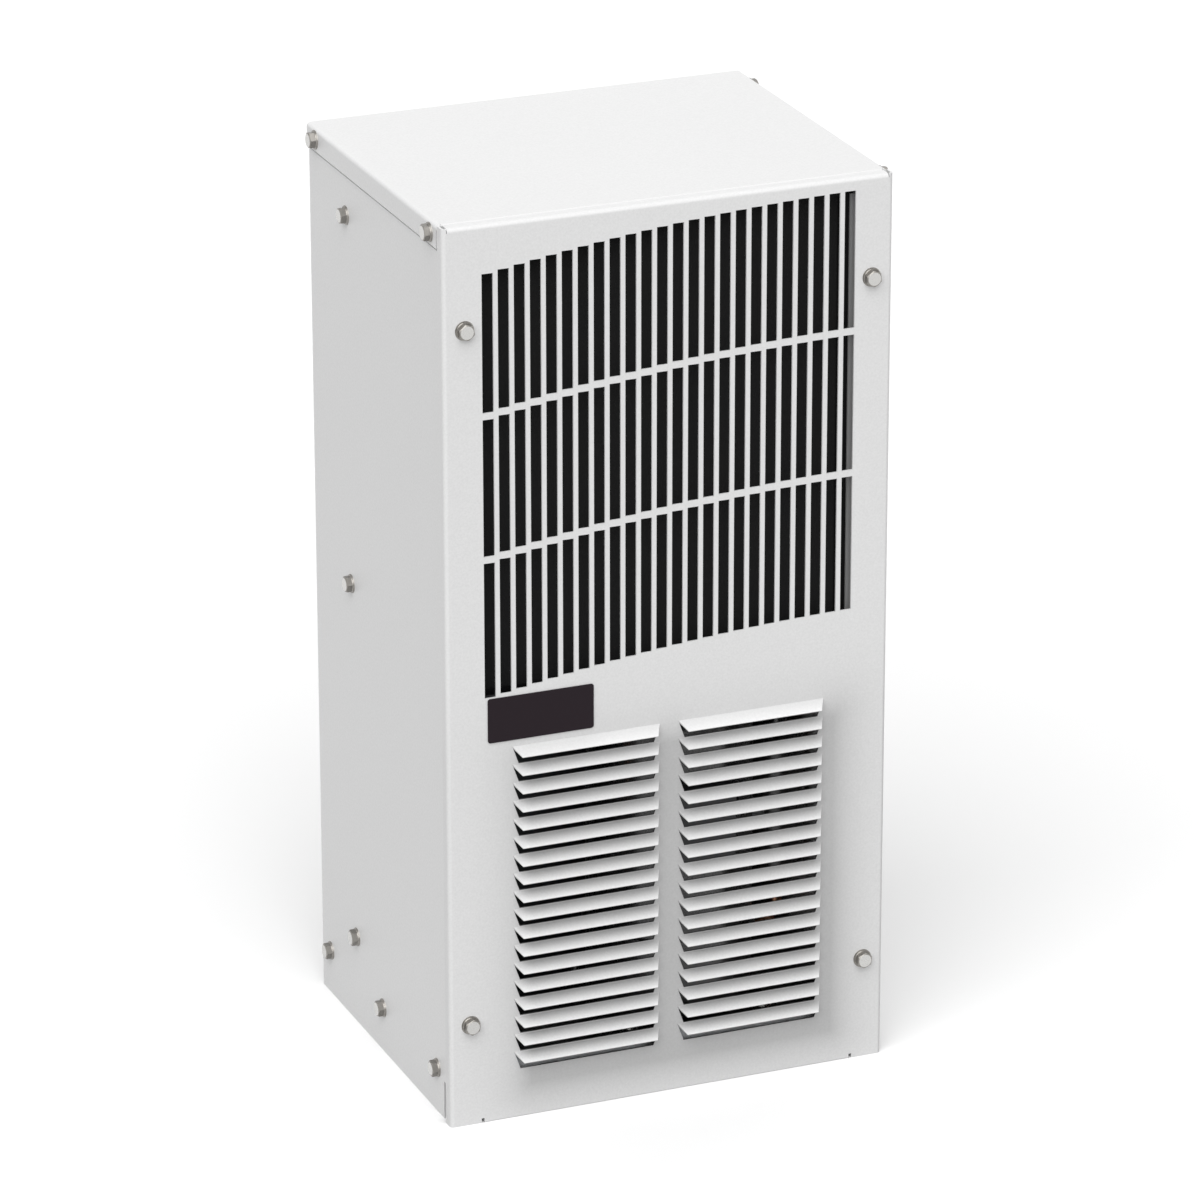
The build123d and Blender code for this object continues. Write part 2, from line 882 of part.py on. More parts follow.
# Saddles that carry the headers from the side panels
with BuildPart() as condenser_saddles:
    for side, header_x in ((-1, coil_left), (1, coil_right)):
        for z in (coil_foot + saddle_inset, coil_head - saddle_inset):
            reach = inner_x - side * header_x
            with Locations((side * (inner_x - reach / 2), coil_y, z)):
                Box(reach, saddle_width, saddle_sheet)
            with Locations((side * (inner_x - saddle_sheet / 2), coil_y, z - saddle_leg / 2)):
                Box(saddle_sheet, saddle_width, saddle_leg + saddle_sheet)
    with BuildSketch(level_at(coil_foot)):
        with Locations((coil_left, coil_y), (coil_right, coil_y)):
            Circle(header_r)
    extrude(amount=coil_head - coil_foot, mode=Mode.SUBTRACT)

# Fan shroud: a sheet across the casing with a round throat
throat_r = inner_x - throat_margin
shroud_foot = coil_foot - shroud_lap
shroud_body = folded_sheet(
    level_at(shroud_foot),
    [
        (-inner_x, shroud_y + shroud_flange),
        (-inner_x, shroud_y),
        (inner_x, shroud_y),
        (inner_x, shroud_y + shroud_flange),
    ],
    sheet_top - shroud_head_gap - shroud_foot,
)
with BuildPart() as fan_shroud:
    add(shroud_body)
    with BuildSketch(face_at(shroud_y + ring_depth)):
        with Locations((fan_x, fan_z)):
            Circle(throat_r + sheet)
    extrude(amount=ring_depth)
    with BuildSketch(face_at(shroud_y + ring_depth)):
        with Locations((fan_x, fan_z)):
            Circle(throat_r)
    extrude(amount=ring_depth, mode=Mode.SUBTRACT)

# Condenser fan: planes look to the rear along the shaft, from the front of the hub to the motor
hub_plane = rear_facing(fan_x, shroud_y + fan_hub_gap, fan_z)
fan_r = throat_r - fan_tip_gap
blade_start = 0.8 * fan_hub_r
with BuildPart() as fan_blade:
    with BuildSketch(Plane(origin=(blade_start, 0, fan_hub_depth / 2), x_dir=(0, 1, 0), z_dir=(1, 0, 0))):
        Rectangle(blade_root_chord, blade_thickness, rotation=blade_root_pitch)
    with BuildSketch(Plane(origin=(throat_r, 0, fan_hub_depth / 2), x_dir=(0, 1, 0), z_dir=(1, 0, 0))):
        Rectangle(blade_tip_chord, blade_thickness, rotation=blade_tip_pitch)
    loft(ruled=True)
    with BuildSketch(level_at(-fan_hub_depth)):
        Circle(fan_r)
    extrude(amount=3 * fan_hub_depth, mode=Mode.INTERSECT)

with BuildPart() as condenser_fan:
    with BuildSketch(hub_plane):
        Circle(fan_hub_r)
    extrude(amount=fan_hub_depth)
    with Locations(hub_plane):
        with PolarLocations(0, fan_blades):
            add(fan_blade.part)
    with BuildSketch(hub_plane):
        Circle(shaft_r)
    extrude(amount=fan_hub_depth, mode=Mode.SUBTRACT)

# Fan motor: a can with a cavity for the rotor and a bush in each end
motor_plane = hub_plane.offset(fan_hub_depth + motor_gap)
with BuildPart() as fan_motor:
    with BuildSketch(motor_plane):
        Circle(motor_r)
    extrude(amount=motor_length)
    chamfer(fan_motor.edges().filter_by(GeomType.CIRCLE), motor_corner)
    with BuildSketch(motor_plane):
        Circle(bush_r)
    extrude(amount=motor_length, mode=Mode.SUBTRACT)
    with BuildSketch(motor_plane.offset(motor_end)):
        Circle(motor_cavity_r)
    extrude(amount=motor_length - 2 * motor_end, mode=Mode.SUBTRACT)

with BuildPart() as fan_motor_bushes:
    with BuildSketch(motor_plane, motor_plane.offset(motor_length - motor_end)):
        Circle(bush_r)
        Circle(shaft_r + shaft_fit, mode=Mode.SUBTRACT)
    extrude(amount=motor_end)

with BuildPart() as fan_rotor_shaft:
    with BuildSketch(hub_plane):
        Circle(shaft_r)
    extrude(amount=fan_hub_depth + motor_gap + motor_length - rotor_gap)
    with BuildSketch(motor_plane.offset(motor_end + rotor_gap)):
        Circle(rotor_r)
    extrude(amount=motor_length - 2 * motor_end - 2 * rotor_gap)

# Motor bracket: a strap behind the motor, folded forwards to feet on the shroud
strap_y = motor_plane.origin.Y + motor_length + bracket_sheet
foot_y = shroud_y + sheet + bracket_sheet
bracket_half = throat_r + sheet + bracket_gap
with BuildPart() as motor_bracket:
    add(
        folded_sheet(
            level_at(fan_z - bracket_height / 2),
            [
                (fan_x + bracket_half + bracket_foot, foot_y),
                (fan_x + bracket_half, foot_y),
                (fan_x + bracket_half, strap_y),
                (fan_x - bracket_half, strap_y),
                (fan_x - bracket_half, foot_y),
                (fan_x - bracket_half - bracket_foot, foot_y),
            ],
            bracket_height,
            thickness=bracket_sheet,
        )
    )

# Compressor, standing on its base plate
shell_foot = sheet + grommet_height + foot_plate
shell_head = coil_foot - compressor_headroom
with BuildPart() as compressor:
    with BuildSketch(level_at(shell_foot)):
        with Locations((compressor_x, compressor_y)):
            Circle(compressor_r)
    extrude(amount=shell_head - shell_foot)
    fillet(compressor.faces().sort_by(Axis.Z)[-1].edges(), compressor_dome)
    chamfer(compressor.faces().sort_by(Axis.Z)[0].edges(), compressor_toe)
    with BuildSketch(level_at(shell_foot + weld_band_rise)):
        with Locations((compressor_x, compressor_y)):
            Circle(compressor_r + weld_band_out)
    extrude(amount=weld_band_height)
    with BuildSketch(level_at(shell_head)):
        with Locations((compressor_x + outlet_stub_x, compressor_y)):
            Circle(outlet_stub_r)
    extrude(amount=outlet_stub_height)

with BuildSketch(level_at(0)) as compressor_feet:
    with Locations((compressor_x, compressor_y)):
        with PolarLocations(foot_circle_r, foot_count, start_angle=foot_angle):
            Circle(stud_r)
foot_places = [(face.center().X, face.center().Y) for face in compressor_feet.faces()]
with BuildPart() as compressor_base:
    with BuildSketch(level_at(sheet + grommet_height)):
        with Locations(*foot_places):
            Circle(foot_lug_r)
        make_hull()
        with Locations(*foot_places):
            Circle(stud_r + stud_clear, mode=Mode.SUBTRACT)
    extrude(amount=foot_plate)

with BuildPart() as compressor_mounts:
    with BuildSketch(level_at(sheet)):
        with Locations(*foot_places):
            Circle(grommet_r)
            Circle(stud_r + stud_clear, mode=Mode.SUBTRACT)
    extrude(amount=grommet_height)

with BuildPart() as compressor_studs:
    with BuildSketch(level_at(sheet)):
        with Locations(*foot_places):
            Circle(stud_r)
    extrude(amount=grommet_height + foot_plate + stud_above)
    with BuildSketch(level_at(shell_foot)):
        with Locations(*foot_places):
            RegularPolygon(radius=stud_nut_across / 2, side_count=6, major_radius=False)
    extrude(amount=stud_nut_height)

# Terminal cover on the front of the shell
terminal_cover_z = shell_head - terminal_cover_drop - terminal_cover_height / 2
with BuildPart() as terminal_cover:
    with BuildSketch(face_at(compressor_y)):
        with Locations((compressor_x, terminal_cover_z)):
            RectangleRounded(terminal_cover_width, terminal_cover_height, terminal_cover_corner)
    extrude(amount=compressor_r + terminal_cover_out)
    with BuildSketch(level_at(shell_foot)):
        with Locations((compressor_x, compressor_y)):
            Circle(compressor_r)
    extrude(amount=shell_head - shell_foot, mode=Mode.SUBTRACT)

# Suction accumulator and the strap that ties it to the shell
accumulator_head = evaporator_head - accumulator_drop
with BuildPart() as accumulator:
    add(
        spun_can(
            accumulator_x,
            accumulator_y,
            accumulator_foot,
            accumulator_head,
            accumulator_r,
            accumulator_neck_r,
            0.5 * accumulator_cone,
            accumulator_cone,
        )
    )

shell_axis = Vector(compressor_x, compressor_y)
accumulator_axis = Vector(accumulator_x, accumulator_y)
between = accumulator_axis - shell_axis
strap_mid = (shell_axis + accumulator_axis) / 2 + Vector(0, 0, (accumulator_foot + accumulator_head) / 2)
with BuildPart() as accumulator_strap:
    with BuildSketch(Plane(origin=strap_mid, x_dir=between, z_dir=(0, 0, 1))):
        Rectangle(between.length, accumulator_r)
    extrude(amount=strap_width / 2, both=True)
    with BuildSketch(level_at(accumulator_foot)):
        with Locations((compressor_x, compressor_y)):
            Circle(compressor_r)
        with Locations((accumulator_x, accumulator_y)):
            Circle(accumulator_r)
    extrude(amount=accumulator_head - accumulator_foot, mode=Mode.SUBTRACT)

# Refrigerant pipes
stub_head = shell_head + outlet_stub_height
discharge_x = compressor_x + outlet_stub_x
crossing_z = (stub_head + coil_foot) / 2
with BuildPart() as discharge_line:
    add(
        bent_pipe(
            [
                (discharge_x, compressor_y, stub_head),
                (discharge_x, compressor_y, crossing_z),
                (coil_right, coil_y, crossing_z),
                (coil_right, coil_y, coil_foot),
            ],
            pipe_r,
            min(pipe_bend, 0.9 * (crossing_z - stub_head)),
        )
    )

drier_head = coil_foot - liquid_pipe_length
drier_foot = drier_head - drier_length
with BuildPart() as liquid_line:
    with BuildSketch(level_at(drier_head)):
        with Locations((coil_left, coil_y)):
            Circle(pipe_r)
    extrude(amount=liquid_pipe_length)

with BuildPart() as filter_drier:
    add(spun_can(coil_left, coil_y, drier_foot, drier_head, drier_r, drier_neck_r, drier_neck, drier_cone))

with BuildPart() as capillary_tube:
    add(
        bent_pipe(
            [
                (coil_left, coil_y, drier_foot),
                (coil_left, coil_y, evaporator_foot),
                (coil_left, evaporator_y, evaporator_foot),
                (-evaporator_half, evaporator_y, evaporator_foot),
            ],
            capillary_r,
            capillary_bend,
        )
    )

with BuildPart() as suction_line:
    add(
        bent_pipe(
            [
                (evaporator_half, evaporator_y, evaporator_head),
                (accumulator_x, evaporator_y, evaporator_head),
                (accumulator_x, accumulator_y, evaporator_head),
                (accumulator_x, accumulator_y, accumulator_head),
            ],
            pipe_r,
            pipe_bend,
        )
    )

elbow_end = accumulator_axis - between.normalized() * (between.length - compressor_r)
with BuildPart() as suction_elbow:
    add(
        bent_pipe(
            [
                (accumulator_x, accumulator_y, accumulator_foot),
                (accumulator_x, accumulator_y, suction_elbow_z),
                (elbow_end.X, elbow_end.Y, suction_elbow_z),
            ],
            pipe_r,
            pipe_bend,
        )
    )
    with BuildSketch(level_at(shell_foot)):
        with Locations((compressor_x, compressor_y)):
            Circle(compressor_r)
    extrude(amount=shell_head - shell_foot, mode=Mode.SUBTRACT)

# Evaporator coil, its fins and the brackets on the back plate
evaporator_tube_half = evaporator_half - evaporator_tube_inset
evaporator_pitch = 2 * evaporator_tube_half / (evaporator_tube_count - 1)
evaporator_tube_x = [i * evaporator_pitch - evaporator_tube_half for i in range(evaporator_tube_count)]
evaporator_mid_z = (evaporator_foot + evaporator_head) / 2
with BuildPart() as evaporator_coil:
    with BuildSketch(side_at(-evaporator_half)):
        with Locations((evaporator_y, evaporator_foot), (evaporator_y, evaporator_head)):
            Circle(header_r)
    extrude(amount=2 * evaporator_half)
    with Locations(*[(x, evaporator_y, evaporator_mid_z) for x in evaporator_tube_x]):
        Box(flat_tube_thickness, flat_tube_depth, evaporator_head - evaporator_foot)

evaporator_fin_length = evaporator_head - evaporator_foot - 2 * (header_r + fin_header_gap)
evaporator_gap = evaporator_pitch - flat_tube_thickness
upright_fin = [(y, x) for x, y in fin_outline(evaporator_fin_length, evaporator_gap, evaporator_folds)]
with BuildPart() as evaporator_fins:
    with BuildSketch(face_at(evaporator_y + flat_tube_depth / 2)):
        with Locations(*[(x + flat_tube_thickness / 2, evaporator_mid_z) for x in evaporator_tube_x[:-1]]):
            Polygon(*upright_fin, align=None)
    extrude(amount=flat_tube_depth)

bracket_x = evaporator_tube_half + flat_tube_thickness / 2
bracket_low = evaporator_foot + evaporator_bracket_inset
with BuildPart() as evaporator_brackets:
    add(
        folded_sheet(
            level_at(bracket_low),
            [
                (bracket_x + evaporator_bracket_flange, plate_y),
                (bracket_x, plate_y),
                (bracket_x, evaporator_y - flat_tube_depth / 2),
            ],
            evaporator_head - evaporator_bracket_inset - bracket_low,
        )
    )
    mirror(about=Plane.YZ)

# Drain pan under the evaporator, and the tube that leads its water out through the base
drain_pan_front = rear_y - drain_front
drain_half = evaporator_half + drain_margin
with BuildPart() as drain_pan:
    with BuildSketch(level_at(drain_foot)):
        with Locations((0, (drain_pan_front + plate_y) / 2)):
            Rectangle(2 * drain_half, plate_y - drain_pan_front)
    extrude(amount=drain_height)
    offset(amount=-drain_wall, openings=drain_pan.faces().sort_by(Axis.Z)[-1])
    with BuildSketch(level_at(drain_foot)):
        with Locations((drain_x, drain_y)):
            Circle(drain_bore_r)
    extrude(amount=drain_wall, mode=Mode.SUBTRACT)

with BuildPart() as drain_tube:
    with BuildSketch(level_at(0)):
        with Locations((drain_x, drain_y)):
            Circle(drain_tube_r)
            Circle(drain_bore_r, mode=Mode.SUBTRACT)
    extrude(amount=drain_foot)

# Blower: planes look to the rear from the partition, and rooms are counted from it
blower_plane = rear_facing(0, lining_y, blower_z)
blower_room = plate_y - lining_y
with BuildPart() as blower_stator:
    with BuildSketch(blower_plane):
        Circle(stator_base_r)
    extrude(amount=stator_base)
    with BuildSketch(blower_plane):
        Circle(stator_core_r)
    extrude(amount=stator_core_front)
    with BuildSketch(blower_plane):
        Circle(spindle_r + shaft_fit)
    extrude(amount=stator_core_front, mode=Mode.SUBTRACT)

with BuildPart() as blower_rotor:
    with BuildSketch(blower_plane.offset(cup_back)):
        Circle(cup_r)
    extrude(amount=cup_front - cup_back)
    chamfer(blower_rotor.faces().sort_by(Axis.Y)[-1].edges(), cup_wall)
    with BuildSketch(blower_plane.offset(cup_back)):
        Circle(cup_r - cup_wall)
    extrude(amount=cup_front - cup_back - cup_wall, mode=Mode.SUBTRACT)
    with BuildSketch(blower_plane.offset(spindle_back)):
        Circle(spindle_r)
    extrude(amount=cup_front - spindle_back - cup_wall)

sweep_angle = radians(wheel_blade_sweep)
wheel_eye_r = inlet_throat_r + wheel_eye_gap
blade_in = (wheel_eye_r, 0)
blade_out = ((wheel_r - wheel_edge) * cos(sweep_angle), (wheel_r - wheel_edge) * sin(sweep_angle))
with BuildPart() as blower_wheel:
    with BuildSketch(blower_plane.offset(wheel_back)):
        Circle(wheel_r)
        Circle(cup_r, mode=Mode.SUBTRACT)
    extrude(amount=wheel_disc)
    with BuildSketch(blower_plane.offset(wheel_back + wheel_depth - wheel_disc)):
        Circle(wheel_r)
        Circle(wheel_eye_r, mode=Mode.SUBTRACT)
    extrude(amount=wheel_disc)
    with BuildSketch(blower_plane.offset(wheel_back)):
        with BuildLine() as blade_line:
            RadiusArc(blade_in, blade_out, wheel_blade_radius)
        with PolarLocations(0, wheel_blades):
            trace(blade_line.line, wheel_blade_thickness)
    extrude(amount=wheel_depth)

throat_start = wheel_back + wheel_depth - inlet_overlap
with BuildPart() as blower_inlet_ring:
    with BuildSketch(blower_plane.offset(blower_room - inlet_flange_thickness)):
        Circle(inlet_flange_r)
    extrude(amount=inlet_flange_thickness)
    with BuildSketch(blower_plane.offset(throat_start)):
        Circle(inlet_throat_r)
    extrude(amount=blower_room - throat_start)
    with BuildSketch(blower_plane.offset(throat_start)):
        Circle(inlet_throat_r - inlet_throat_wall)
    extrude(amount=blower_room - throat_start, mode=Mode.SUBTRACT)

# Control pocket, open to the enclosure through the back plate
pocket_floor = plate_y - pocket_depth
knob_x = pocket_x - knob_offset
with BuildPart() as control_pocket:
    with BuildSketch(face_at(plate_y)):
        with Locations((pocket_x, pocket_z)):
            Rectangle(pocket_width + 2 * pocket_flange, pocket_height + 2 * pocket_flange)
    extrude(amount=sheet)
    with BuildSketch(face_at(plate_y)):
        with Locations((pocket_x, pocket_z)):
            Rectangle(pocket_width + 2 * sheet, pocket_height + 2 * sheet)
    extrude(amount=pocket_depth)
    with BuildSketch(face_at(plate_y)):
        with Locations((pocket_x, pocket_z)):
            Rectangle(pocket_width, pocket_height)
    extrude(amount=pocket_depth - sheet, mode=Mode.SUBTRACT)
    with BuildSketch(face_at(plate_y)):
        with Locations((knob_x, pocket_z)):
            Circle(spindle_r + knob_hole_clear)
    extrude(amount=pocket_depth, mode=Mode.SUBTRACT)

with BuildPart() as thermostat_body:
    with BuildSketch(face_at(pocket_floor)):
        with Locations((knob_x, pocket_z)):
            Rectangle(thermostat_size, thermostat_size)
    extrude(amount=thermostat_depth)
    chamfer(thermostat_body.faces().sort_by(Axis.Y)[0].edges(), sheet)
    with BuildSketch(face_at(pocket_floor)):
        with Locations((knob_x, pocket_z)):
            Circle(spindle_r + shaft_fit)
    extrude(amount=thermostat_spindle_depth + knob_gap, mode=Mode.SUBTRACT)

# Knob: its planes look out of the pocket to the rear
knob_plane = rear_facing(knob_x, pocket_floor + sheet + knob_gap, pocket_z)
knob_skirt = knob_height - knob_grip_height
with BuildPart() as thermostat_knob:
    with BuildSketch(knob_plane):
        Circle(knob_r)
    extrude(amount=knob_skirt)
    with BuildSketch(knob_plane.offset(knob_skirt)):
        Rectangle(2 * knob_grip, 2 * knob_r - 2 * knob_grip)
    extrude(amount=knob_grip_height)
    with BuildSketch(knob_plane):
        Circle(spindle_r)
    extrude(amount=-(sheet + knob_gap + thermostat_spindle_depth))

# Supply terminals: barriers between the poles, a screw on each
terminal_x = pocket_x + knob_offset
terminal_face = pocket_floor + sheet + terminal_depth
pole_pitch = (terminal_height - terminal_barrier_wall) / terminal_poles
with BuildPart() as terminal_block:
    with BuildSketch(face_at(terminal_face)):
        with Locations((terminal_x, pocket_z)):
            Rectangle(terminal_width, terminal_height)
    extrude(amount=terminal_depth)
    with BuildSketch(face_at(terminal_face + terminal_barrier)):
        with Locations((terminal_x, pocket_z)):
            with GridLocations(0, pole_pitch, 1, terminal_poles + 1):
                Rectangle(terminal_width, terminal_barrier_wall)
    extrude(amount=terminal_barrier)
    with BuildSketch(face_at(terminal_face + terminal_screw_height)):
        with Locations((terminal_x, pocket_z)):
            with GridLocations(0, pole_pitch, 1, terminal_poles):
                Circle(terminal_screw_r)
    extrude(amount=terminal_screw_height)

# Electrical box against the left wall and the partition, open to the front
box_front = partition_y - box_depth
box_mid_x = box_width / 2 - inner_x
with BuildPart() as electrical_box:
    with BuildSketch(face_at(partition_y)):
        with Locations((box_mid_x, (box_foot + box_head) / 2)):
            Rectangle(box_width, box_head - box_foot)
    extrude(amount=box_depth)
    offset(amount=-box_wall, openings=electrical_box.faces().sort_by(Axis.Y)[0])

lid_head = box_head + lid_gap + box_wall
lid_foot = box_foot - lid_gap - box_wall
with BuildPart() as electrical_lid:
    add(
        folded_sheet(
            side_at(-inner_x),
            [
                (box_front + lid_lip, lid_head),
                (box_front - box_wall, lid_head),
                (box_front - box_wall, lid_foot),
                (box_front + lid_lip, lid_foot),
            ],
            box_width,
            thickness=box_wall,
            corner=lid_bend,
        )
    )

capacitor_x = box_wall + capacitor_gap + capacitor_thickness / 2 - inner_x
capacitor_y = partition_y - box_wall - capacitor_gap - capacitor_width / 2
with BuildPart() as run_capacitor:
    with BuildSketch(level_at(box_foot + box_wall)):
        with Locations((capacitor_x, capacitor_y)):
            SlotOverall(capacitor_width, capacitor_thickness, rotation=90)
    extrude(amount=capacitor_height)
    with BuildSketch(level_at(box_foot + box_wall + capacitor_height)):
        with Locations((capacitor_x, capacitor_y)):
            with GridLocations(0, 2 * capacitor_tab, 1, 2):
                Rectangle(box_wall, capacitor_tab)
    extrude(amount=capacitor_tab)

relay_z = box_head - box_wall - relay_drop - relay_height / 2
with BuildPart() as compressor_relay:
    with BuildSketch(face_at(partition_y - box_wall)):
        with Locations((box_mid_x, relay_z)):
            Rectangle(relay_width + 2 * relay_base_margin, relay_height + 2 * relay_base_margin)
    extrude(amount=relay_base)
    with BuildSketch(face_at(partition_y - box_wall)):
        with Locations((box_mid_x, relay_z)):
            Rectangle(relay_width, relay_height)
    extrude(amount=relay_depth)

finished = {
    "front_cover": front_cover,
    "name_plate": name_plate,
    "cover_screws": cover_screws,
    "top_panel": top_panel,
    "top_screws": top_screws,
    "left_side_panel": left_side_panel,
    "right_side_panel": right_side_panel,
    "side_screws": side_screws,
    "bottom_pan": bottom_pan,
    "back_plate": back_plate,
    "mounting_nuts": mounting_nuts,
    "rear_gasket": rear_gasket,
    "partition": partition,
    "partition_lining": partition_lining,
    "pipe_grommets": pipe_grommets,
    "air_filter": air_filter,
    "filter_frame": filter_frame,
    "frame_clips": frame_clips,
    "condenser_coil": condenser_coil,
    "condenser_fins": condenser_fins,
    "condenser_saddles": condenser_saddles,
    "fan_shroud": fan_shroud,
    "condenser_fan": condenser_fan,
    "fan_motor": fan_motor,
    "fan_motor_bushes": fan_motor_bushes,
    "fan_rotor_shaft": fan_rotor_shaft,
    "motor_bracket": motor_bracket,
    "compressor": compressor,
    "compressor_base": compressor_base,
    "compressor_mounts": compressor_mounts,
    "compressor_studs": compressor_studs,
    "terminal_cover": terminal_cover,
    "accumulator": accumulator,
    "accumulator_strap": accumulator_strap,
    "discharge_line": discharge_line,
    "liquid_line": liquid_line,
    "filter_drier": filter_drier,
    "capillary_tube": capillary_tube,
    "suction_line": suction_line,
    "suction_elbow": suction_elbow,
    "evaporator_coil": evaporator_coil,
    "evaporator_fins": evaporator_fins,
    "evaporator_brackets": evaporator_brackets,
    "drain_pan": drain_pan,
    "drain_tube": drain_tube,
    "blower_stator": blower_stator,
    "blower_rotor": blower_rotor,
    "blower_wheel": blower_wheel,
    "blower_inlet_ring": blower_inlet_ring,
    "control_pocket": control_pocket,
    "thermostat_body": thermostat_body,
    "thermostat_knob": thermostat_knob,
    "terminal_block": terminal_block,
    "electrical_box": electrical_box,
    "electrical_lid": electrical_lid,
    "run_capacitor": run_capacitor,
    "compressor_relay": compressor_relay,
}
os.makedirs("parts", exist_ok=True)
for name, piece in finished.items():
    piece.part.label = name
    export_step(piece.part, f"parts/{name}.step")
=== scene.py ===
import json
import logging
import math
from collections.abc import Callable, Sequence
from dataclasses import dataclass, field
from enum import Enum

import bmesh
import bpy
from mathutils import Matrix, Vector


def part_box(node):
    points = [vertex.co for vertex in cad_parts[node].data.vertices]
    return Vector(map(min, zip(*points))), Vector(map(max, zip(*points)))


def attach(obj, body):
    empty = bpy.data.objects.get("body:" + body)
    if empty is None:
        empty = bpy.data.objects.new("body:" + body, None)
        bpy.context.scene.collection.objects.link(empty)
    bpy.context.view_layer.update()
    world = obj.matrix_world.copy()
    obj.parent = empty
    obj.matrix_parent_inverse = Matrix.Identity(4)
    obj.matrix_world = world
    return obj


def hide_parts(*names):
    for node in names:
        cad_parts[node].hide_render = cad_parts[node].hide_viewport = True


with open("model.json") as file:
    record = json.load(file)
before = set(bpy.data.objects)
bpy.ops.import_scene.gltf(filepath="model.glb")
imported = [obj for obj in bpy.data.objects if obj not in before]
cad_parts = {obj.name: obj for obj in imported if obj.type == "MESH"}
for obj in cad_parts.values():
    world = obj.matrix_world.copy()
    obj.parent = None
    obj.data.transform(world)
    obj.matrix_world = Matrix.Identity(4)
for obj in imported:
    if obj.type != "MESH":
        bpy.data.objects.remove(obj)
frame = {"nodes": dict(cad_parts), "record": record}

MM = 0.001
CABINET = "cabinet"
KNOB = "knob"
LOG = logging.getLogger("air_conditioner")

Sizes = dict[str, float | int]
Span = tuple[float, float]
Corner = tuple[float, float, float]
Box = tuple[Corner, Corner]


def mm(*values: float) -> Vector:
    """A vector in metres from values in millimetres."""
    return Vector([value * MM for value in values])


# Trees of nodes, for materials and for Geometry Nodes


@dataclass(frozen=True)
class Wire:
    """A socket in a tree, on which maths is written as plain expressions."""

    tree: "Tree"
    socket: bpy.types.NodeSocket

    def _math(self, operation: str, first: "Wire | float", second: "Wire | float" = 0.0) -> "Wire":
        """A Math node on one or two values.

        Args:
            operation: The Math node's operation.
            first: Its first value.
            second: Its second value.

        Returns:
            The node's result.
        """
        return self.tree.node("ShaderNodeMath", {0: first, 1: second}, operation=operation)

    def __add__(self, other: "Wire | float") -> "Wire":
        """The sum of two values."""
        return self._math("ADD", self, other)

    def __radd__(self, other: float) -> "Wire":
        """The sum of a number and this value."""
        return self._math("ADD", other, self)

    def __sub__(self, other: "Wire | float") -> "Wire":
        """This value less the other."""
        return self._math("SUBTRACT", self, other)

    def __rsub__(self, other: float) -> "Wire":
        """A number less this value."""
        return self._math("SUBTRACT", other, self)

    def __mul__(self, other: "Wire | float") -> "Wire":
        """The product of two values."""
        return self._math("MULTIPLY", self, other)

    def __rmul__(self, other: float) -> "Wire":
        """The product of a number and this value."""
        return self._math("MULTIPLY", other, self)

    def __truediv__(self, other: "Wire | float") -> "Wire":
        """This value divided by the other."""
        return self._math("DIVIDE", self, other)

    def __pow__(self, power: float) -> "Wire":
        """This value raised to a power."""
        return self._math("POWER", self, power)

    def __abs__(self) -> "Wire":
        """This value without its sign."""
        return self._math("ABSOLUTE", self)

    def whole(self) -> "Wire":
        """The whole number below this value."""
        return self._math("FLOOR", self)

    def at_least(self, least: float) -> "Wire":
        """This value, or the least where it is lower."""
        return self._math("MAXIMUM", self, least)

    def share(self) -> "Wire":
        """This value, kept between 0 and 1."""
        return self._math("MINIMUM", self.at_least(0.0), 1.0)

    def sine(self) -> "Wire":
        """The sine of this value in radians."""
        return self._math("SINE", self)

    def fading(self, reach: float) -> "Wire":
        """1 at a distance of 0, falling towards 0 over the reach."""
        return self._math("EXPONENT", self * (-1.0 / reach))

    def above(self, limit: float) -> "Wire":
        """1 where this value is over the limit, and 0 elsewhere."""
        return self._math("GREATER_THAN", self, limit)


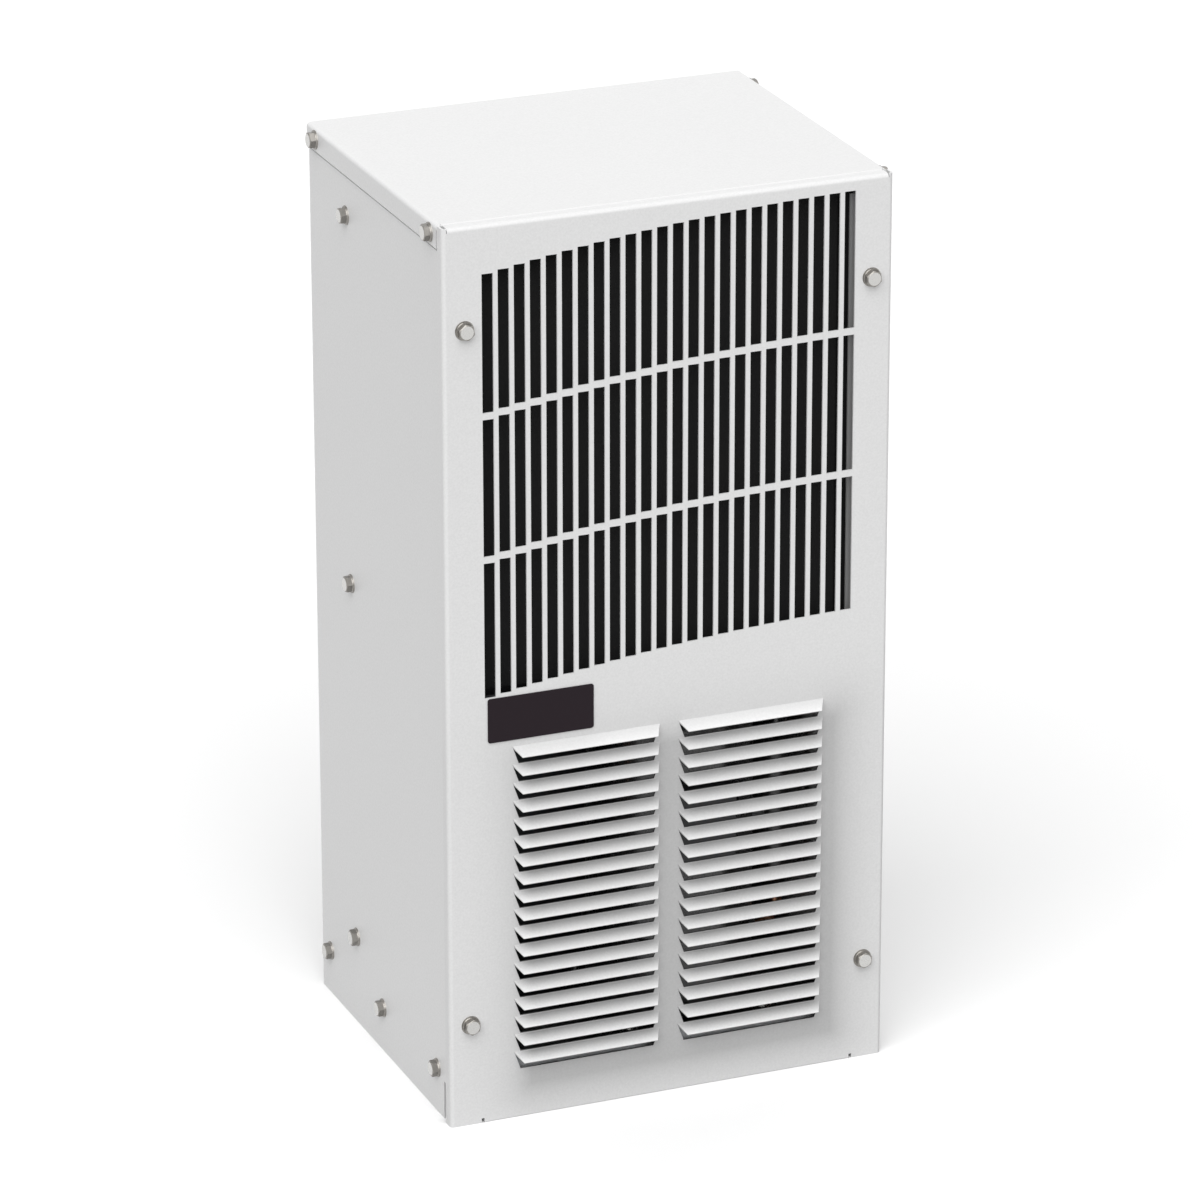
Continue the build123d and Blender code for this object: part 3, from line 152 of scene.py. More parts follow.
class Tree:
    """A node tree that is built one node at a time."""

    def __init__(self, tree: bpy.types.NodeTree) -> None:
        """Wraps a tree and empties it.

        Args:
            tree: The tree to build in.
        """
        self.tree = tree
        tree.nodes.clear()

    def node(
        self,
        kind: str,
        sockets: dict[int | str, object] | None = None,
        output: int | str = 0,
        **settings: object,
    ) -> Wire:
        """Adds a node, sets it and joins it up.

        Args:
            kind: The node's type.
            sockets: Values or links of its inputs, by name or number, with a list for several links.
            output: The output that is handed back.
            **settings: The node's own settings.

        Returns:
            That output, or the first input of a node without outputs.
        """
        made = self.tree.nodes.new(kind)
        for name, value in settings.items():
            setattr(made, name, value)
        for key, value in (sockets or {}).items():
            for one in value if isinstance(value, list) else [value]:
                if isinstance(one, Wire):
                    self.tree.links.new(one.socket, made.inputs[key])
                else:
                    made.inputs[key].default_value = one
        return Wire(self, made.outputs[output] if len(made.outputs) else made.inputs[0])

    def vector(self, x: Wire | float, y: Wire | float, z: Wire | float) -> Wire:
        """A vector from three values."""
        return self.node("ShaderNodeCombineXYZ", {0: x, 1: y, 2: z})

    def grey(self, level: Wire) -> Wire:
        """A colour with the same value in red, green and blue."""
        return self.node("ShaderNodeCombineColor", {0: level, 1: level, 2: level})

    def parts_of(self, vector: Wire) -> tuple[Wire, Wire, Wire]:
        """The three values of a vector.

        Args:
            vector: The vector to take apart.

        Returns:
            Its x, y and z.
        """
        split = self.node("ShaderNodeSeparateXYZ", {0: vector}).socket.node
        return tuple(Wire(self, output) for output in split.outputs)

    def joined(self, *shapes: Wire) -> Wire:
        """Several geometries as one."""
        return self.node("GeometryNodeJoinGeometry", {0: list(shapes)})

    def moved(self, shape: Wire, by: Wire | Sequence[float], turn: Corner = (0.0, 0.0, 0.0)) -> Wire:
        """Geometry turned by angles in radians and then moved by a vector."""
        return self.node("GeometryNodeTransform", {"Geometry": shape, "Translation": by, "Rotation": turn})

    def shaped(self, shape: Wire, place: Wire) -> Wire:
        """Geometry with every point at the place that is worked out for it."""
        return self.node("GeometryNodeSetPosition", {"Geometry": shape, "Position": place})

    def spread(self, points: Wire, shape: Wire, turn: Wire | Corner = (0.0, 0.0, 0.0)) -> Wire:
        """A copy of the geometry at each point, turned there."""
        return self.node(
            "GeometryNodeInstanceOnPoints", {"Points": points, "Instance": shape, "Rotation": turn}
        )

    def real(self, shape: Wire) -> Wire:
        """Copies made into geometry of their own."""
        return self.node("GeometryNodeRealizeInstances", {0: shape})

    def covered(self, shape: Wire, finish: "Finish", where: Wire | bool = True) -> Wire:
        """Geometry with a finish on the faces that are chosen."""
        return self.node(
            "GeometryNodeSetMaterial", {"Geometry": shape, "Selection": where, "Material": finish.material()}
        )

    def position(self) -> tuple[Wire, Wire, Wire]:
        """The x, y and z of each point of a geometry."""
        return self.parts_of(self.node("GeometryNodeInputPosition"))


# Finishes

CLOUD_SCALE = 9.0
CLOUD_TINT = 0.02
DRAWN_SHARE = 0.06
FIBRE_BEND_SHARE = 0.3
FIBRE_BEND = 0.004
DUST_FROM = 0.46875
DUST = (0.32, 0.30, 0.27, 1.0)
COAT_ROUGHNESS = 0.25


class Grain(Enum):
    """The kinds of fine pattern that a finish can have."""

    SPECKLE = "speckle"
    SPANGLE = "spangle"
    FIBRE = "fibre"
    CELLS = "cells"
    DRAWN = "drawn"


@dataclass(frozen=True)
class Finish:
    """A finish of metal, paint, plastic, foam or rubber, with a fine pattern in colour, gloss and relief."""

    name: str
    colour: Corner
    roughness: float = 0.5
    metallic: float = 0.0
    grain: Grain = Grain.SPECKLE
    grain_size: float = 1.0
    tint: float = 0.03
    gloss_change: float = 0.08
    relief: float = 0.02
    coat: float = 0.0
    dust: float = 0.0
    specular: float = 0.5

    def _pattern(self, tree: Tree, place: Wire) -> Wire:
        """The fine pattern, from 0 to 1.

        Args:
            tree: The material's tree.
            place: Object coordinates.

        Returns:
            The pattern's value.
        """
        per_metre = 1.0 / (self.grain_size * MM)
        spot = {"Vector": place, "Scale": per_metre}
        if self.grain is Grain.SPANGLE:
            return tree.parts_of(tree.node("ShaderNodeTexVoronoi", spot, "Color", feature="F1"))[0]
        if self.grain is Grain.CELLS:
            return tree.node("ShaderNodeTexVoronoi", spot, feature="F1")
        detail = {"Detail": 2.0, "Roughness": 0.6}
        if self.grain is Grain.DRAWN:
            drawn = (1.0, 1.0, DRAWN_SHARE)
            spot["Vector"] = tree.node("ShaderNodeMapping", {"Vector": place, "Scale": drawn})
        if self.grain is Grain.FIBRE:
            bend = tree.node("ShaderNodeTexNoise", {**spot, "Scale": per_metre * FIBRE_BEND_SHARE}, "Color")
            spot["Vector"] = tree.node(
                "ShaderNodeVectorMath", {0: bend, 1: (FIBRE_BEND,) * 3, 2: place}, operation="MULTIPLY_ADD"
            )
            detail = {"Detail": 5.0, "Roughness": 0.75}
        return tree.node("ShaderNodeTexNoise", {**spot, **detail})

    def _shade(self, place: Wire, pattern: Wire, broad: Wire) -> Wire:
        """How light the colour is over the surface, about 1.

        Args:
            place: Object coordinates, not used here.
            pattern: The fine pattern.
            broad: The broad clouds.

        Returns:
            The factor on the colour.
        """
        return 1.0 + (pattern - 0.5) * (2.0 * self.tint) + (broad - 0.5) * CLOUD_TINT

    def material(self) -> bpy.types.Material:
        """The finish as a Blender material, built once.

        Returns:
            The material.
        """
        kept = bpy.data.materials.get("finish_" + self.name)
        if kept:
            return kept
        made = bpy.data.materials.new("finish_" + self.name)
        made.use_nodes = True
        tree = Tree(made.node_tree)
        place = tree.node("ShaderNodeTexCoord", output="Object")
        pattern = self._pattern(tree, place)
        broad = tree.node("ShaderNodeTexNoise", {"Vector": place, "Scale": CLOUD_SCALE, "Detail": 3.0})
        shade = tree.grey(self._shade(place, pattern, broad))
        plain = {0: 1.0, 6: (*self.colour, 1.0), 7: shade}
        colour = tree.node("ShaderNodeMix", plain, 2, data_type="RGBA", blend_type="MULTIPLY")
        if self.dust:
            worn = broad.above(DUST_FROM) * self.dust * pattern
            colour = tree.node("ShaderNodeMix", {0: worn, 6: colour, 7: DUST}, 2, data_type="RGBA")
        rough = self.roughness + (pattern - 0.5) * self.gloss_change + (broad - 0.5) * self.gloss_change
        bump = tree.node("ShaderNodeBump", {"Strength": 1.0, "Distance": self.relief * MM, "Height": pattern})
        surface = tree.node(
            "ShaderNodeBsdfPrincipled",
            {
                "Base Color": colour,
                "Metallic": self.metallic,
                "Roughness": rough,
                "Coat Weight": self.coat,
                "Coat Roughness": COAT_ROUGHNESS,
                "Specular IOR Level": self.specular,
                "Normal": bump,
            },
        )
        tree.node("ShaderNodeOutputMaterial", {"Surface": surface})
        return made


@dataclass(frozen=True)
class VentCoatPaintedShade(Finish):
    """Paint with painted shade round the field of louvers and on the blades, and painted shade that darkens
    the cut edges inside their openings.
    """

    centre: Span = (8.0, 112.0)
    half: Span = (88.0, 93.0)
    front: float = -99.9
    blade: float = 6.2
    blade_start: float = 0.01
    reach: float = 14.0
    # How deep the painted shade round the louvers is, and how much more painted shade the blades get
    painted_shade: float = 0.37
    blade_painted_shade: float = 0.10
    mottle: float = 0.3
    # How dark the painted shade on the cut edges inside the openings is, and how far in it reaches
    cut_edge_painted_shade: float = 0.88
    cut_depth: float = 0.3

    def _shade(self, place: Wire, pattern: Wire, broad: Wire) -> Wire:
        """How light the colour is, with painted shade: less near the louvers, full at the blades' tips, least
        on the cut edges.

        Args:
            place: Object coordinates.
            pattern: The fine pattern.
            broad: The broad clouds.

        Returns:
            The factor on the colour.
        """
        x, y, z = pattern.tree.parts_of(place)
        beside = (abs(x - self.centre[0] * MM) - self.half[0] * MM).at_least(0.0)
        below = (abs(z - self.centre[1] * MM) - self.half[1] * MM).at_least(0.0)
        near = ((beside * beside + below * below) ** 0.5).fading(self.reach * MM)
        out = ((self.front * MM - y) / (self.blade * MM)).share()
        # Painted shade round the louvers, more of it on the blades, fading out towards their tips
        painted_shade = self.painted_shade + out.above(self.blade_start) * self.blade_painted_shade
        painted_shade = near * (1.0 - out) * (1.0 + (broad - 0.5) * self.mottle) * painted_shade
        # Painted shade on the cut edges inside the openings
        inside = ((y - self.front * MM) / (self.cut_depth * MM)).share()
        return super()._shade(place, pattern, broad) * (1.0 - painted_shade) * (1.0 - near * inside * self.cut_edge_painted_shade)


SPANGLES = (Grain.SPANGLE, 7.0, 0.10, 0.16, 0.004)
PAINT = dict(
    colour=(0.745, 0.745, 0.745), roughness=0.42, grain_size=1.2, tint=0.09, gloss_change=0.1, relief=0.025
)
# The front cover's paint, with painted shade round its louvers
VENT_COAT_PAINTED_SHADE = VentCoatPaintedShade("vent_coat", **PAINT)
# Painted shade: a darker grey for the side panels' return flanges, which stand in shade behind the cover
RETURN_FLANGE_SHADE = Finish("grey_primer", (0.31, 0.31, 0.31), 0.55, grain_size=1.2, tint=0.06)
WHITE_INK = Finish("scale_ink", (0.70, 0.70, 0.68), 0.5, grain_size=0.5, relief=0.003)
PAN_SHEET = Finish("pan_sheet", (0.45, 0.46, 0.47), 0.44, 0.75, *SPANGLES)
# Painted shade: galvanised sheet made nearly black for inner pieces that are seen only in shade through the
# louvers
GALVANISED_PAINTED_SHADE = Finish("dull_galvanised", (0.06, 0.062, 0.065), 0.6, 1.0, *SPANGLES)
# Painted shade: a darker copy of the zinc for the screws' flanks and washers, standing in for the darker
# reflections they catch; the crowns keep the plain zinc
ZINC_FLANK_PAINTED_SHADE = Finish("zinc_flank", (0.27, 0.258, 0.24), 0.34, 1.0, Grain.SPECKLE, 1.2, 0.08, 0.14, 0.01)

# The finish of each slot in the record, its values in the order of Finish's fields
FINISHES = {
    "casing_paint": Finish("powder_coat", **PAINT),
    "name_plate": Finish(
        "dark_label", (0.0125, 0.0072, 0.0105), 0.5, grain_size=0.6, tint=0.05, relief=0.004, specular=0.16
    ),
    "zinc_steel": Finish("zinc_plate", (0.56, 0.555, 0.54), 0.26, 1.0, Grain.SPECKLE, 1.6, 0.04, 0.10, 0.008),
    "machined_steel": Finish(
        "ground_steel", (0.60, 0.60, 0.61), 0.28, 1.0, Grain.DRAWN, 0.5, 0.05, 0.12, 0.006
    ),
    "galvanised_sheet": Finish("galvanised_sheet", (0.42, 0.43, 0.44), 0.44, 1.0, *SPANGLES),
    "black_sheet": Finish(
        "black_sheet", (0.003, 0.003, 0.0033), 0.6, grain_size=0.7, tint=0.05, specular=0.12
    ),
    "gasket_foam": Finish(
        "gasket_foam", (0.022, 0.022, 0.023), 0.85, 0.0, Grain.CELLS, 0.7, 0.25, relief=0.12
    ),
    "lining_foam": Finish("lining_foam", (0.040, 0.040, 0.043), 0.9, 0.0, Grain.CELLS, 1.2, 0.25, relief=0.2),
    "black_rubber": Finish("black_rubber", (0.018, 0.018, 0.018), 0.6, grain_size=0.8, tint=0.15, dust=0.15),
    "filter_mat": Finish(
        "filter_fibre", (0.0105, 0.0105, 0.0107), 0.95, 0.0, Grain.FIBRE, 1.1, 0.4, relief=0.4, specular=0.2
    ),
    "coil_aluminium": Finish(
        "coil_aluminium", (0.70, 0.71, 0.72), 0.36, 1.0, Grain.DRAWN, 0.8, 0.06, 0.12, 0.008
    ),
    "fin_aluminium": Finish(
        "fin_aluminium", (0.74, 0.75, 0.76), 0.32, 1.0, Grain.SPECKLE, 2.0, 0.05, 0.10, 0.004
    ),
    "cast_aluminium": Finish(
        "cast_aluminium", (0.55, 0.56, 0.57), 0.5, 1.0, Grain.SPECKLE, 0.7, 0.08, 0.12, 0.05
    ),
    "black_plastic": Finish("black_plastic", (0.022, 0.022, 0.024), 0.48, grain_size=0.5, tint=0.08),
    "grey_plastic": Finish(
        "grey_plastic", (0.17, 0.178, 0.185), 0.5, grain_size=0.8, tint=0.04, relief=0.012
    ),
    "cream_plastic": Finish("cream_plastic", (0.62, 0.57, 0.44), 0.45, grain_size=0.8, relief=0.008),
    "motor_paint": Finish("motor_paint", (0.030, 0.032, 0.035), 0.4, grain_size=0.7, tint=0.08, coat=0.2),
    "compressor_paint": Finish(
        "black_enamel", (0.012, 0.012, 0.013), 0.28, grain_size=1.5, tint=0.08, coat=0.5, dust=0.12
    ),
    "bronze": Finish("sintered_bronze", (0.52, 0.34, 0.17), 0.45, 1.0, Grain.SPECKLE, 0.4, 0.10, 0.12, 0.02),
    "copper": Finish("copper_tube", (0.80, 0.42, 0.27), 0.32, 1.0, Grain.DRAWN, 3.0, 0.12, 0.16, 0.006),
    "capacitor_can": Finish(
        "capacitor_can", (0.70, 0.70, 0.71), 0.30, 1.0, Grain.DRAWN, 1.0, 0.04, 0.10, 0.004
    ),
}


# Meshes

SAME_PLACE = 1e-6
FLAT_ANGLE = 0.5
ROUNDED_ANGLE = 40.0
FACE_WEIGHT = 100


def plain_mesh(source: bpy.types.Object) -> bpy.types.Mesh:
    """The mesh that an object shows with its modifiers, taken out of it; the object is deleted.

    Args:
        source: An object that is linked to the scene.

    Returns:
        The finished mesh.
    """
    bpy.context.view_layer.update()
    graph = bpy.context.evaluated_depsgraph_get()
    made = bpy.data.meshes.new_from_object(source.evaluated_get(graph), depsgraph=graph)
    bpy.data.objects.remove(source)
    return made


def on_stage(name: str, mesh: bpy.types.Mesh) -> bpy.types.Object:
    """Links a mesh to the scene as an object at the origin."""
    made = bpy.data.objects.new(name, mesh)
    bpy.context.scene.collection.objects.link(made)
    return made


def modify(shape: bpy.types.Object, kind: str, **settings: object) -> None:
    """Adds a modifier to an object.

    Args:
        shape: The object.
        kind: The modifier's type.
        **settings: Its settings.
    """
    added = shape.modifiers.new(kind.lower(), kind)
    for name, value in settings.items():
        setattr(added, name, value)


def shaded(mesh: bpy.types.Mesh, crease: float = 32.0) -> bpy.types.Mesh:
    """Smooths a mesh's shading, except across edges that are sharper than the crease.

    Args:
        mesh: The mesh to shade.
        crease: The angle in degrees.

    Returns:
        The same mesh.
    """
    mesh.shade_smooth()
    mesh.set_sharp_from_angle(angle=math.radians(crease))
    return mesh


def evened(mesh: bpy.types.Mesh, crease: float = 40.0) -> bpy.types.Mesh:
    """Smooths a mesh's shading with normals that follow its large faces, so that flat sheets look flat.

    Args:
        mesh: The mesh to shade.
        crease: The angle in degrees above which an edge stays sharp.

    Returns:
        A new mesh.
    """
    shape = on_stage(mesh.name, shaded(mesh, crease))
    modify(shape, "WEIGHTED_NORMAL", keep_sharp=True, weight=FACE_WEIGHT)
    return plain_mesh(shape)


def mesh_from(work: bmesh.types.BMesh, name: str) -> bpy.types.Mesh:
    """A mesh with what a bmesh holds; the bmesh is freed.

    Args:
        work: The bmesh.
        name: The mesh's name.

    Returns:
        The mesh.
    """
    made = bpy.data.meshes.new(name)
    work.to_mesh(made)
    work.free()
    return made


def mesh_of(build: Callable[[bmesh.types.BMesh], None], name: str = "made") -> bpy.types.Mesh:
    """A mesh that a function fills.

    Args:
        build: Adds vertices and faces to the mesh, in metres.
        name: The mesh's name.

    Returns:
        The mesh.
    """
    work = bmesh.new()
    build(work)
    return mesh_from(work, name)


def merged_copy(node: str) -> bmesh.types.BMesh:
    """A CAD node's mesh as a bmesh, with the vertices in the same place made one.

    Args:
        node: The CAD node.

    Returns:
        The bmesh.
    """
    work = bmesh.new()
    work.from_mesh(frame["nodes"][node].data)
    bmesh.ops.remove_doubles(work, verts=work.verts, dist=SAME_PLACE)
    return work


def finish_piece(
    name: str,
    mesh: bpy.types.Mesh,
    slot: str,
    replaces: Sequence[str] = (),
    body: str = CABINET,
    finish: Finish | None = None,
) -> bpy.types.Object:
    """Puts a finished mesh in the model, dresses it and lets it ride on its body.

    Args:
        name: The piece's name.
        mesh: Its mesh, in place and in metres, with its materials where it has its own.
        slot: The record's material slot it takes its finish from.
        replaces: The CAD nodes that it stands for.
        body: The body that it rides on.
        finish: What it is covered with, if that isn't the slot's finish.

    Returns:
        The piece.
    """
    piece = on_stage(name, mesh)
    if finish or not len(mesh.materials):
        mesh.materials.clear()
        mesh.materials.append((finish or FINISHES[slot]).material())
    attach(piece, body)
    if replaces:
        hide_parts(*replaces)
    LOG.info("%s: %d faces, rides on %s", name, len(mesh.polygons), body)
    return piece


def block(low: Corner, high: Corner) -> bpy.types.Mesh:
    """The block that cuts a gap.

    Args:
        low: Its lowest corner in millimetres.
        high: Its highest corner in millimetres.

    Returns:
        The block's mesh.
    """

    def build(work: bmesh.types.BMesh) -> None:
        """Adds the block."""
        size = mm(*high) - mm(*low)
        place = Matrix.Translation((mm(*high) + mm(*low)) / 2) @ Matrix.Diagonal((*size, 1.0))
        bmesh.ops.create_cube(work, size=1.0, matrix=place)

    return mesh_of(build, "gap")


def softened(node: str, edge: float = 0.25, segments: int = 2, gaps: Sequence[Box] = ()) -> bpy.types.Mesh:
    """A copy of a CAD node's mesh, merged, with its sharp edges rounded.

    Args:
        node: The CAD node.
        edge: How far the rounding reaches from an edge, in millimetres.
        segments: The steps of the rounding.
        gaps: The lowest and highest corners of fine gaps that are cut in it, in millimetres.

    Returns:
        The new mesh.
    """
    work = merged_copy(node)
    bmesh.ops.dissolve_limit(work, angle_limit=math.radians(FLAT_ANGLE), verts=work.verts, edges=work.edges)
    shape = on_stage(node + "_soft", mesh_from(work, node + "_soft"))
    cutters = [on_stage("gap", block(low, high)) for low, high in gaps]
    for cutter in cutters:
        modify(shape, "BOOLEAN", operation="DIFFERENCE", object=cutter)
    rounding = {"width": edge * MM, "segments": segments, "use_clamp_overlap": True}
    modify(shape, "BEVEL", limit_method="ANGLE", angle_limit=math.radians(ROUNDED_ANGLE), **rounding)
    made = plain_mesh(shape)
    for cutter in cutters:
        bpy.data.objects.remove(cutter)
    return evened(made)


class Recipe:
    """A Geometry Nodes tree with named inputs, which grows a plain mesh from a seed mesh."""

    def __init__(self, name: str, sizes: Sizes) -> None:
        """Starts the tree.

        Args:
            name: The tree's name.
            sizes: Its named inputs, whole numbers for counts and seeds, with their values.
        """
        group = bpy.data.node_groups.new(name, "GeometryNodeTree")
        self.values: Sizes = {}
        self.tree = Tree(group)
        for way in ("INPUT", "OUTPUT"):
            group.interface.new_socket("Geometry", in_out=way, socket_type="NodeSocketGeometry")
        for label, value in sizes.items():
            kind = "NodeSocketInt" if isinstance(value, int) else "NodeSocketFloat"
            entry = group.interface.new_socket(label, in_out="INPUT", socket_type=kind)
            self.values[entry.identifier] = value
        inputs = group.nodes.new("NodeGroupInput")
        self.seed = Wire(self.tree, inputs.outputs["Geometry"])
        self.size = {label: Wire(self.tree, inputs.outputs[label]) for label in sizes}
        self.group = group

    def points(self, count: Wire, place: Callable[[Wire], Wire]) -> Wire:
        """Points whose places follow from their index.

        Args:
            count: How many points.
            place: Gives a point's place from its index.

        Returns:
            The points.
        """
        index = self.tree.node("GeometryNodeInputIndex")
        return self.tree.node("GeometryNodePoints", {"Count": count, "Position": place(index)})

    def close(self, shape: Wire, finish: Finish | None = None) -> None:
        """Ends the tree in real geometry with its material.

        Args:
            shape: The geometry that has been built.
            finish: What it is covered with, or None where its parts have their materials.
        """
        real = self.tree.real(shape)
        self.tree.node("NodeGroupOutput", {0: self.tree.covered(real, finish) if finish else real})

    def grow(self, seed: bpy.types.Mesh | None = None) -> bpy.types.Mesh:
        """Runs the tree, and drops the empty material slot that it leaves in front.

        Args:
            seed: The mesh that the tree starts from.

        Returns:
            A plain mesh.
        """
        host = on_stage(self.group.name, seed or bpy.data.meshes.new(self.group.name))
        modifier = host.modifiers.new(self.group.name, "NODES")
        modifier.node_group = self.group
        for identifier, value in self.values.items():
            modifier[identifier] = value
        grown = plain_mesh(host)
        if len(grown.materials) and not grown.materials[0]:
            grown.materials.pop(index=0)
        return grown


# Casing


@dataclass
class FrontCover:
    """The front cover: one folded sheet with an arched slot grille and pressed louvers."""

    width: float = 254.0
    height: float = 508.0
    sheet: float = 1.1
    tip_share: float = 0.45
    bend: float = 2.4
    foot_bend: float = 0.5
    rim: float = 7.0
    bend_steps: int = 7
    blade_points: int = 9
    fold_gap: float = 0.5
    foot_half: float = 107.5
    relief_width: float = 1.6
    relief_height: float = 2.6
    joint: float = 0.005
    slots: Sizes = field(
        default_factory=lambda: {
            "Slot Columns": 24,
            "Slot Rows": 3,
            "Slot Pitch": 8.89,
            "Slot Width": 6.3,
            "Slot Height": 76.0,
            "Slot Web": 3.65,
            "Arch Radius": 1320.0,
            "Arch Centre": 125.0,
            "Arch Crest": 501.1,
        }
    )
    louvers: Sizes = field(
        default_factory=lambda: {
            "Louver Columns": 2,
            "Louver Rows": 18,
            "Louver Pitch": 10.47,
            "Louver Width": 84.8,
            "Louver Spacing": 95.3,
            "Louver Foot": 38.7,
            "Louver Opening": 10.3,
            "Louver Slant": 3.6,
            "Louver Reach": 6.2,
            "Louver Fall": 4.55,
            "Root Curl": 0.75,
            "Curl Lift": 0.2,
        }
    )

    def __post_init__(self) -> None:
        """Takes the face's place from the frame, and works out its edges."""
        self.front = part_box("name_plate")[1].y / MM
        self.side = self.width / 2 - self.bend
        self.top = self.height - self.bend

    def _fold_profile(self, bend: float) -> list[Span]:
        """Points round a bend and down to the rim.

        Args:
            bend: The bend's outer radius.

        Returns:
            How far each point lies beside the start of the bend, and how far back.
        """
        steps = [math.pi / 2 * i / self.bend_steps for i in range(self.bend_steps + 1)]
        return [(bend * math.sin(a), bend * (1 - math.cos(a))) for a in steps] + [(bend, self.rim)]

    def _outline(self) -> bpy.types.Mesh:
        """The flat face's outline, x across and y up.

        Returns:
            A closed loop of edges.
        """
        relief = self.foot_half + self.relief_width
        right = [
            (self.foot_half, self.foot_bend),
            (self.foot_half, self.relief_height),
            (relief, self.relief_height),
            (relief, 0.0),
            (self.side, 0.0),
            (self.side, self.top),
            (self.side - self.fold_gap, self.top),
        ]
        loop = right + [(-x, z) for x, z in reversed(right)]

        def build(work: bmesh.types.BMesh) -> None:
            """Adds the loop."""
            corners = [work.verts.new(mm(x, z, 0)) for x, z in loop]
            for i, corner in enumerate(corners):
                work.edges.new((corner, corners[(i + 1) % len(corners)]))

        return mesh_of(build, "cover_outline")

    def _openings(self, recipe: Recipe) -> tuple[Wire, Wire, Wire]:
        """The holes of the face as curves, x across and y up.

        Args:
            recipe: The tree to build in.

        Returns:
            The slots, the louvers' openings, and the louvers' roots as points.
        """
        tree, size = recipe.tree, recipe.size

        def cell(index: Wire, kind: str) -> tuple[Wire, Wire]:
            """The column, counted from the middle, and the row of a slot or louver."""
            column = (index / size[kind + " Rows"]).whole()
            return column - (size[kind + " Columns"] - 1) / 2, index - column * size[kind + " Rows"]

        def slot_place(index: Wire) -> Wire:
            """A slot's centre, below the arch that the crests follow.

            Args:
                index: The slot's index.

            Returns:
                Its place.
            """
            column, row = cell(index, "Slot")
            x = column * size["Slot Pitch"]
            beside = x - size["Arch Centre"]
            rise = (size["Arch Radius"] ** 2 - beside * beside) ** 0.5
            crest = size["Arch Crest"] - size["Arch Radius"] + rise
            y = crest - size["Slot Height"] / 2 - row * (size["Slot Height"] + size["Slot Web"])
            return tree.vector(x * MM, y * MM, 0.0)

        def louver_place(index: Wire) -> Wire:
            """A louver's root from its index."""
            column, row = cell(index, "Louver")
            y = size["Louver Foot"] + row * size["Louver Pitch"]
            return tree.vector(column * size["Louver Spacing"] * MM, y * MM, 0.0)

        slot_points = recipe.points(size["Slot Columns"] * size["Slot Rows"], slot_place)
        roots = recipe.points(size["Louver Columns"] * size["Louver Rows"], louver_place)
        slot = tree.node(
            "GeometryNodeCurvePrimitiveQuadrilateral",
            {"Width": size["Slot Width"] * MM, "Height": size["Slot Height"] * MM},
            mode="RECTANGLE",
        )
        opening = tree.node(
            "GeometryNodeCurvePrimitiveQuadrilateral",
            {
                "Height": size["Louver Opening"] * MM,
                "Bottom Width": (size["Louver Width"] - 2.0 * size["Louver Slant"]) * MM,
                "Top Width": size["Louver Width"] * MM,
                "Offset": 0.0,
            },
            mode="TRAPEZOID",
        )
        opening = tree.moved(opening, tree.vector(0.0, size["Louver Opening"] * (-0.5 * MM), 0.0))
        return tree.spread(slot_points, slot), tree.spread(roots, opening), roots

    def _blade(self, recipe: Recipe) -> Wire:
        """One louver blade below its root, as a strip that curls out of the face.

        Args:
            recipe: The tree to build in.

        Returns:
            The blade.
        """
        tree, size = recipe.tree, recipe.size
        strip = tree.node(
            "GeometryNodeMeshGrid",
            {"Size X": 1.0, "Size Y": 1.0, "Vertices X": 2, "Vertices Y": self.blade_points},
        )
        across, along, _ = tree.position()
        run = 0.5 - along
        bowed = run * (1.0 - run) * 2.0
        down = bowed * size["Root Curl"] + run * run * size["Louver Fall"]
        out = bowed * size["Root Curl"] * size["Curl Lift"] + run * run * size["Louver Reach"]
        narrow = 1.0 - 2.0 * size["Louver Slant"] * down / (size["Louver Fall"] * size["Louver Width"])
        x = across * narrow * size["Louver Width"] * MM
        return tree.shaped(strip, tree.vector(x, down * -MM, out * MM))

    def _pressed_face(self) -> bpy.types.Mesh:
        """The flat face with its slots, louver openings and louver blades.

        Returns:
            The face as a skin.
        """
        recipe = Recipe("pressed_face", {**self.slots, **self.louvers})
        tree = recipe.tree
        slots, openings, roots = self._openings(recipe)
        outline = tree.node("GeometryNodeMeshToCurve", {"Mesh": recipe.seed})
        curves = tree.real(tree.joined(outline, slots, openings))
        face = tree.node("GeometryNodeFillCurve", {"Curve": curves}, mode="NGONS")
        skin = tree.real(tree.joined(face, tree.spread(roots, self._blade(recipe))))
        # The face takes the paint with painted shade round its louvers
        recipe.close(tree.moved(skin, mm(0.0, self.front, 0.0), (math.pi / 2, 0.0, 0.0)), VENT_COAT_PAINTED_SHADE)
        return recipe.grow(self._outline())

    def _folds(self, work: bmesh.types.BMesh) -> None:
        """Adds the bends and rims round the face.

        Args:
            work: The mesh that holds the face.
        """
        side, top, foot, across = self.side, self.top, self.foot_bend, self.side - self.fold_gap

        def strip(stations: list[float], bend: float, place: Callable[[float, float, float], Vector]) -> None:
            """Adds a fold from the edge of the face to the rim.

            Args:
                stations: Where along the fold its corners lie.
                bend: The bend's outer radius.
                place: Gives a corner from its station and how far beside and back it lies.
            """
            profile = self._fold_profile(bend)
            rows = [[work.verts.new(place(s, beside, back)) for beside, back in profile] for s in stations]
            for row, after in zip(rows, rows[1:]):
                for i in range(len(profile) - 1):
                    work.faces.new((row[i], row[i + 1], after[i + 1], after[i]))

        for sign in (-1, 1):
            upright = [0.0, top, self.height]
            strip(upright, self.bend, lambda s, b, k, g=sign: mm(g * (side + b), self.front + k, s))
        strip([-across, across], self.bend, lambda s, b, k: mm(s, self.front + k, top + b))
        strip([-self.foot_half, self.foot_half], foot, lambda s, b, k: mm(s, self.front + k, foot - b))

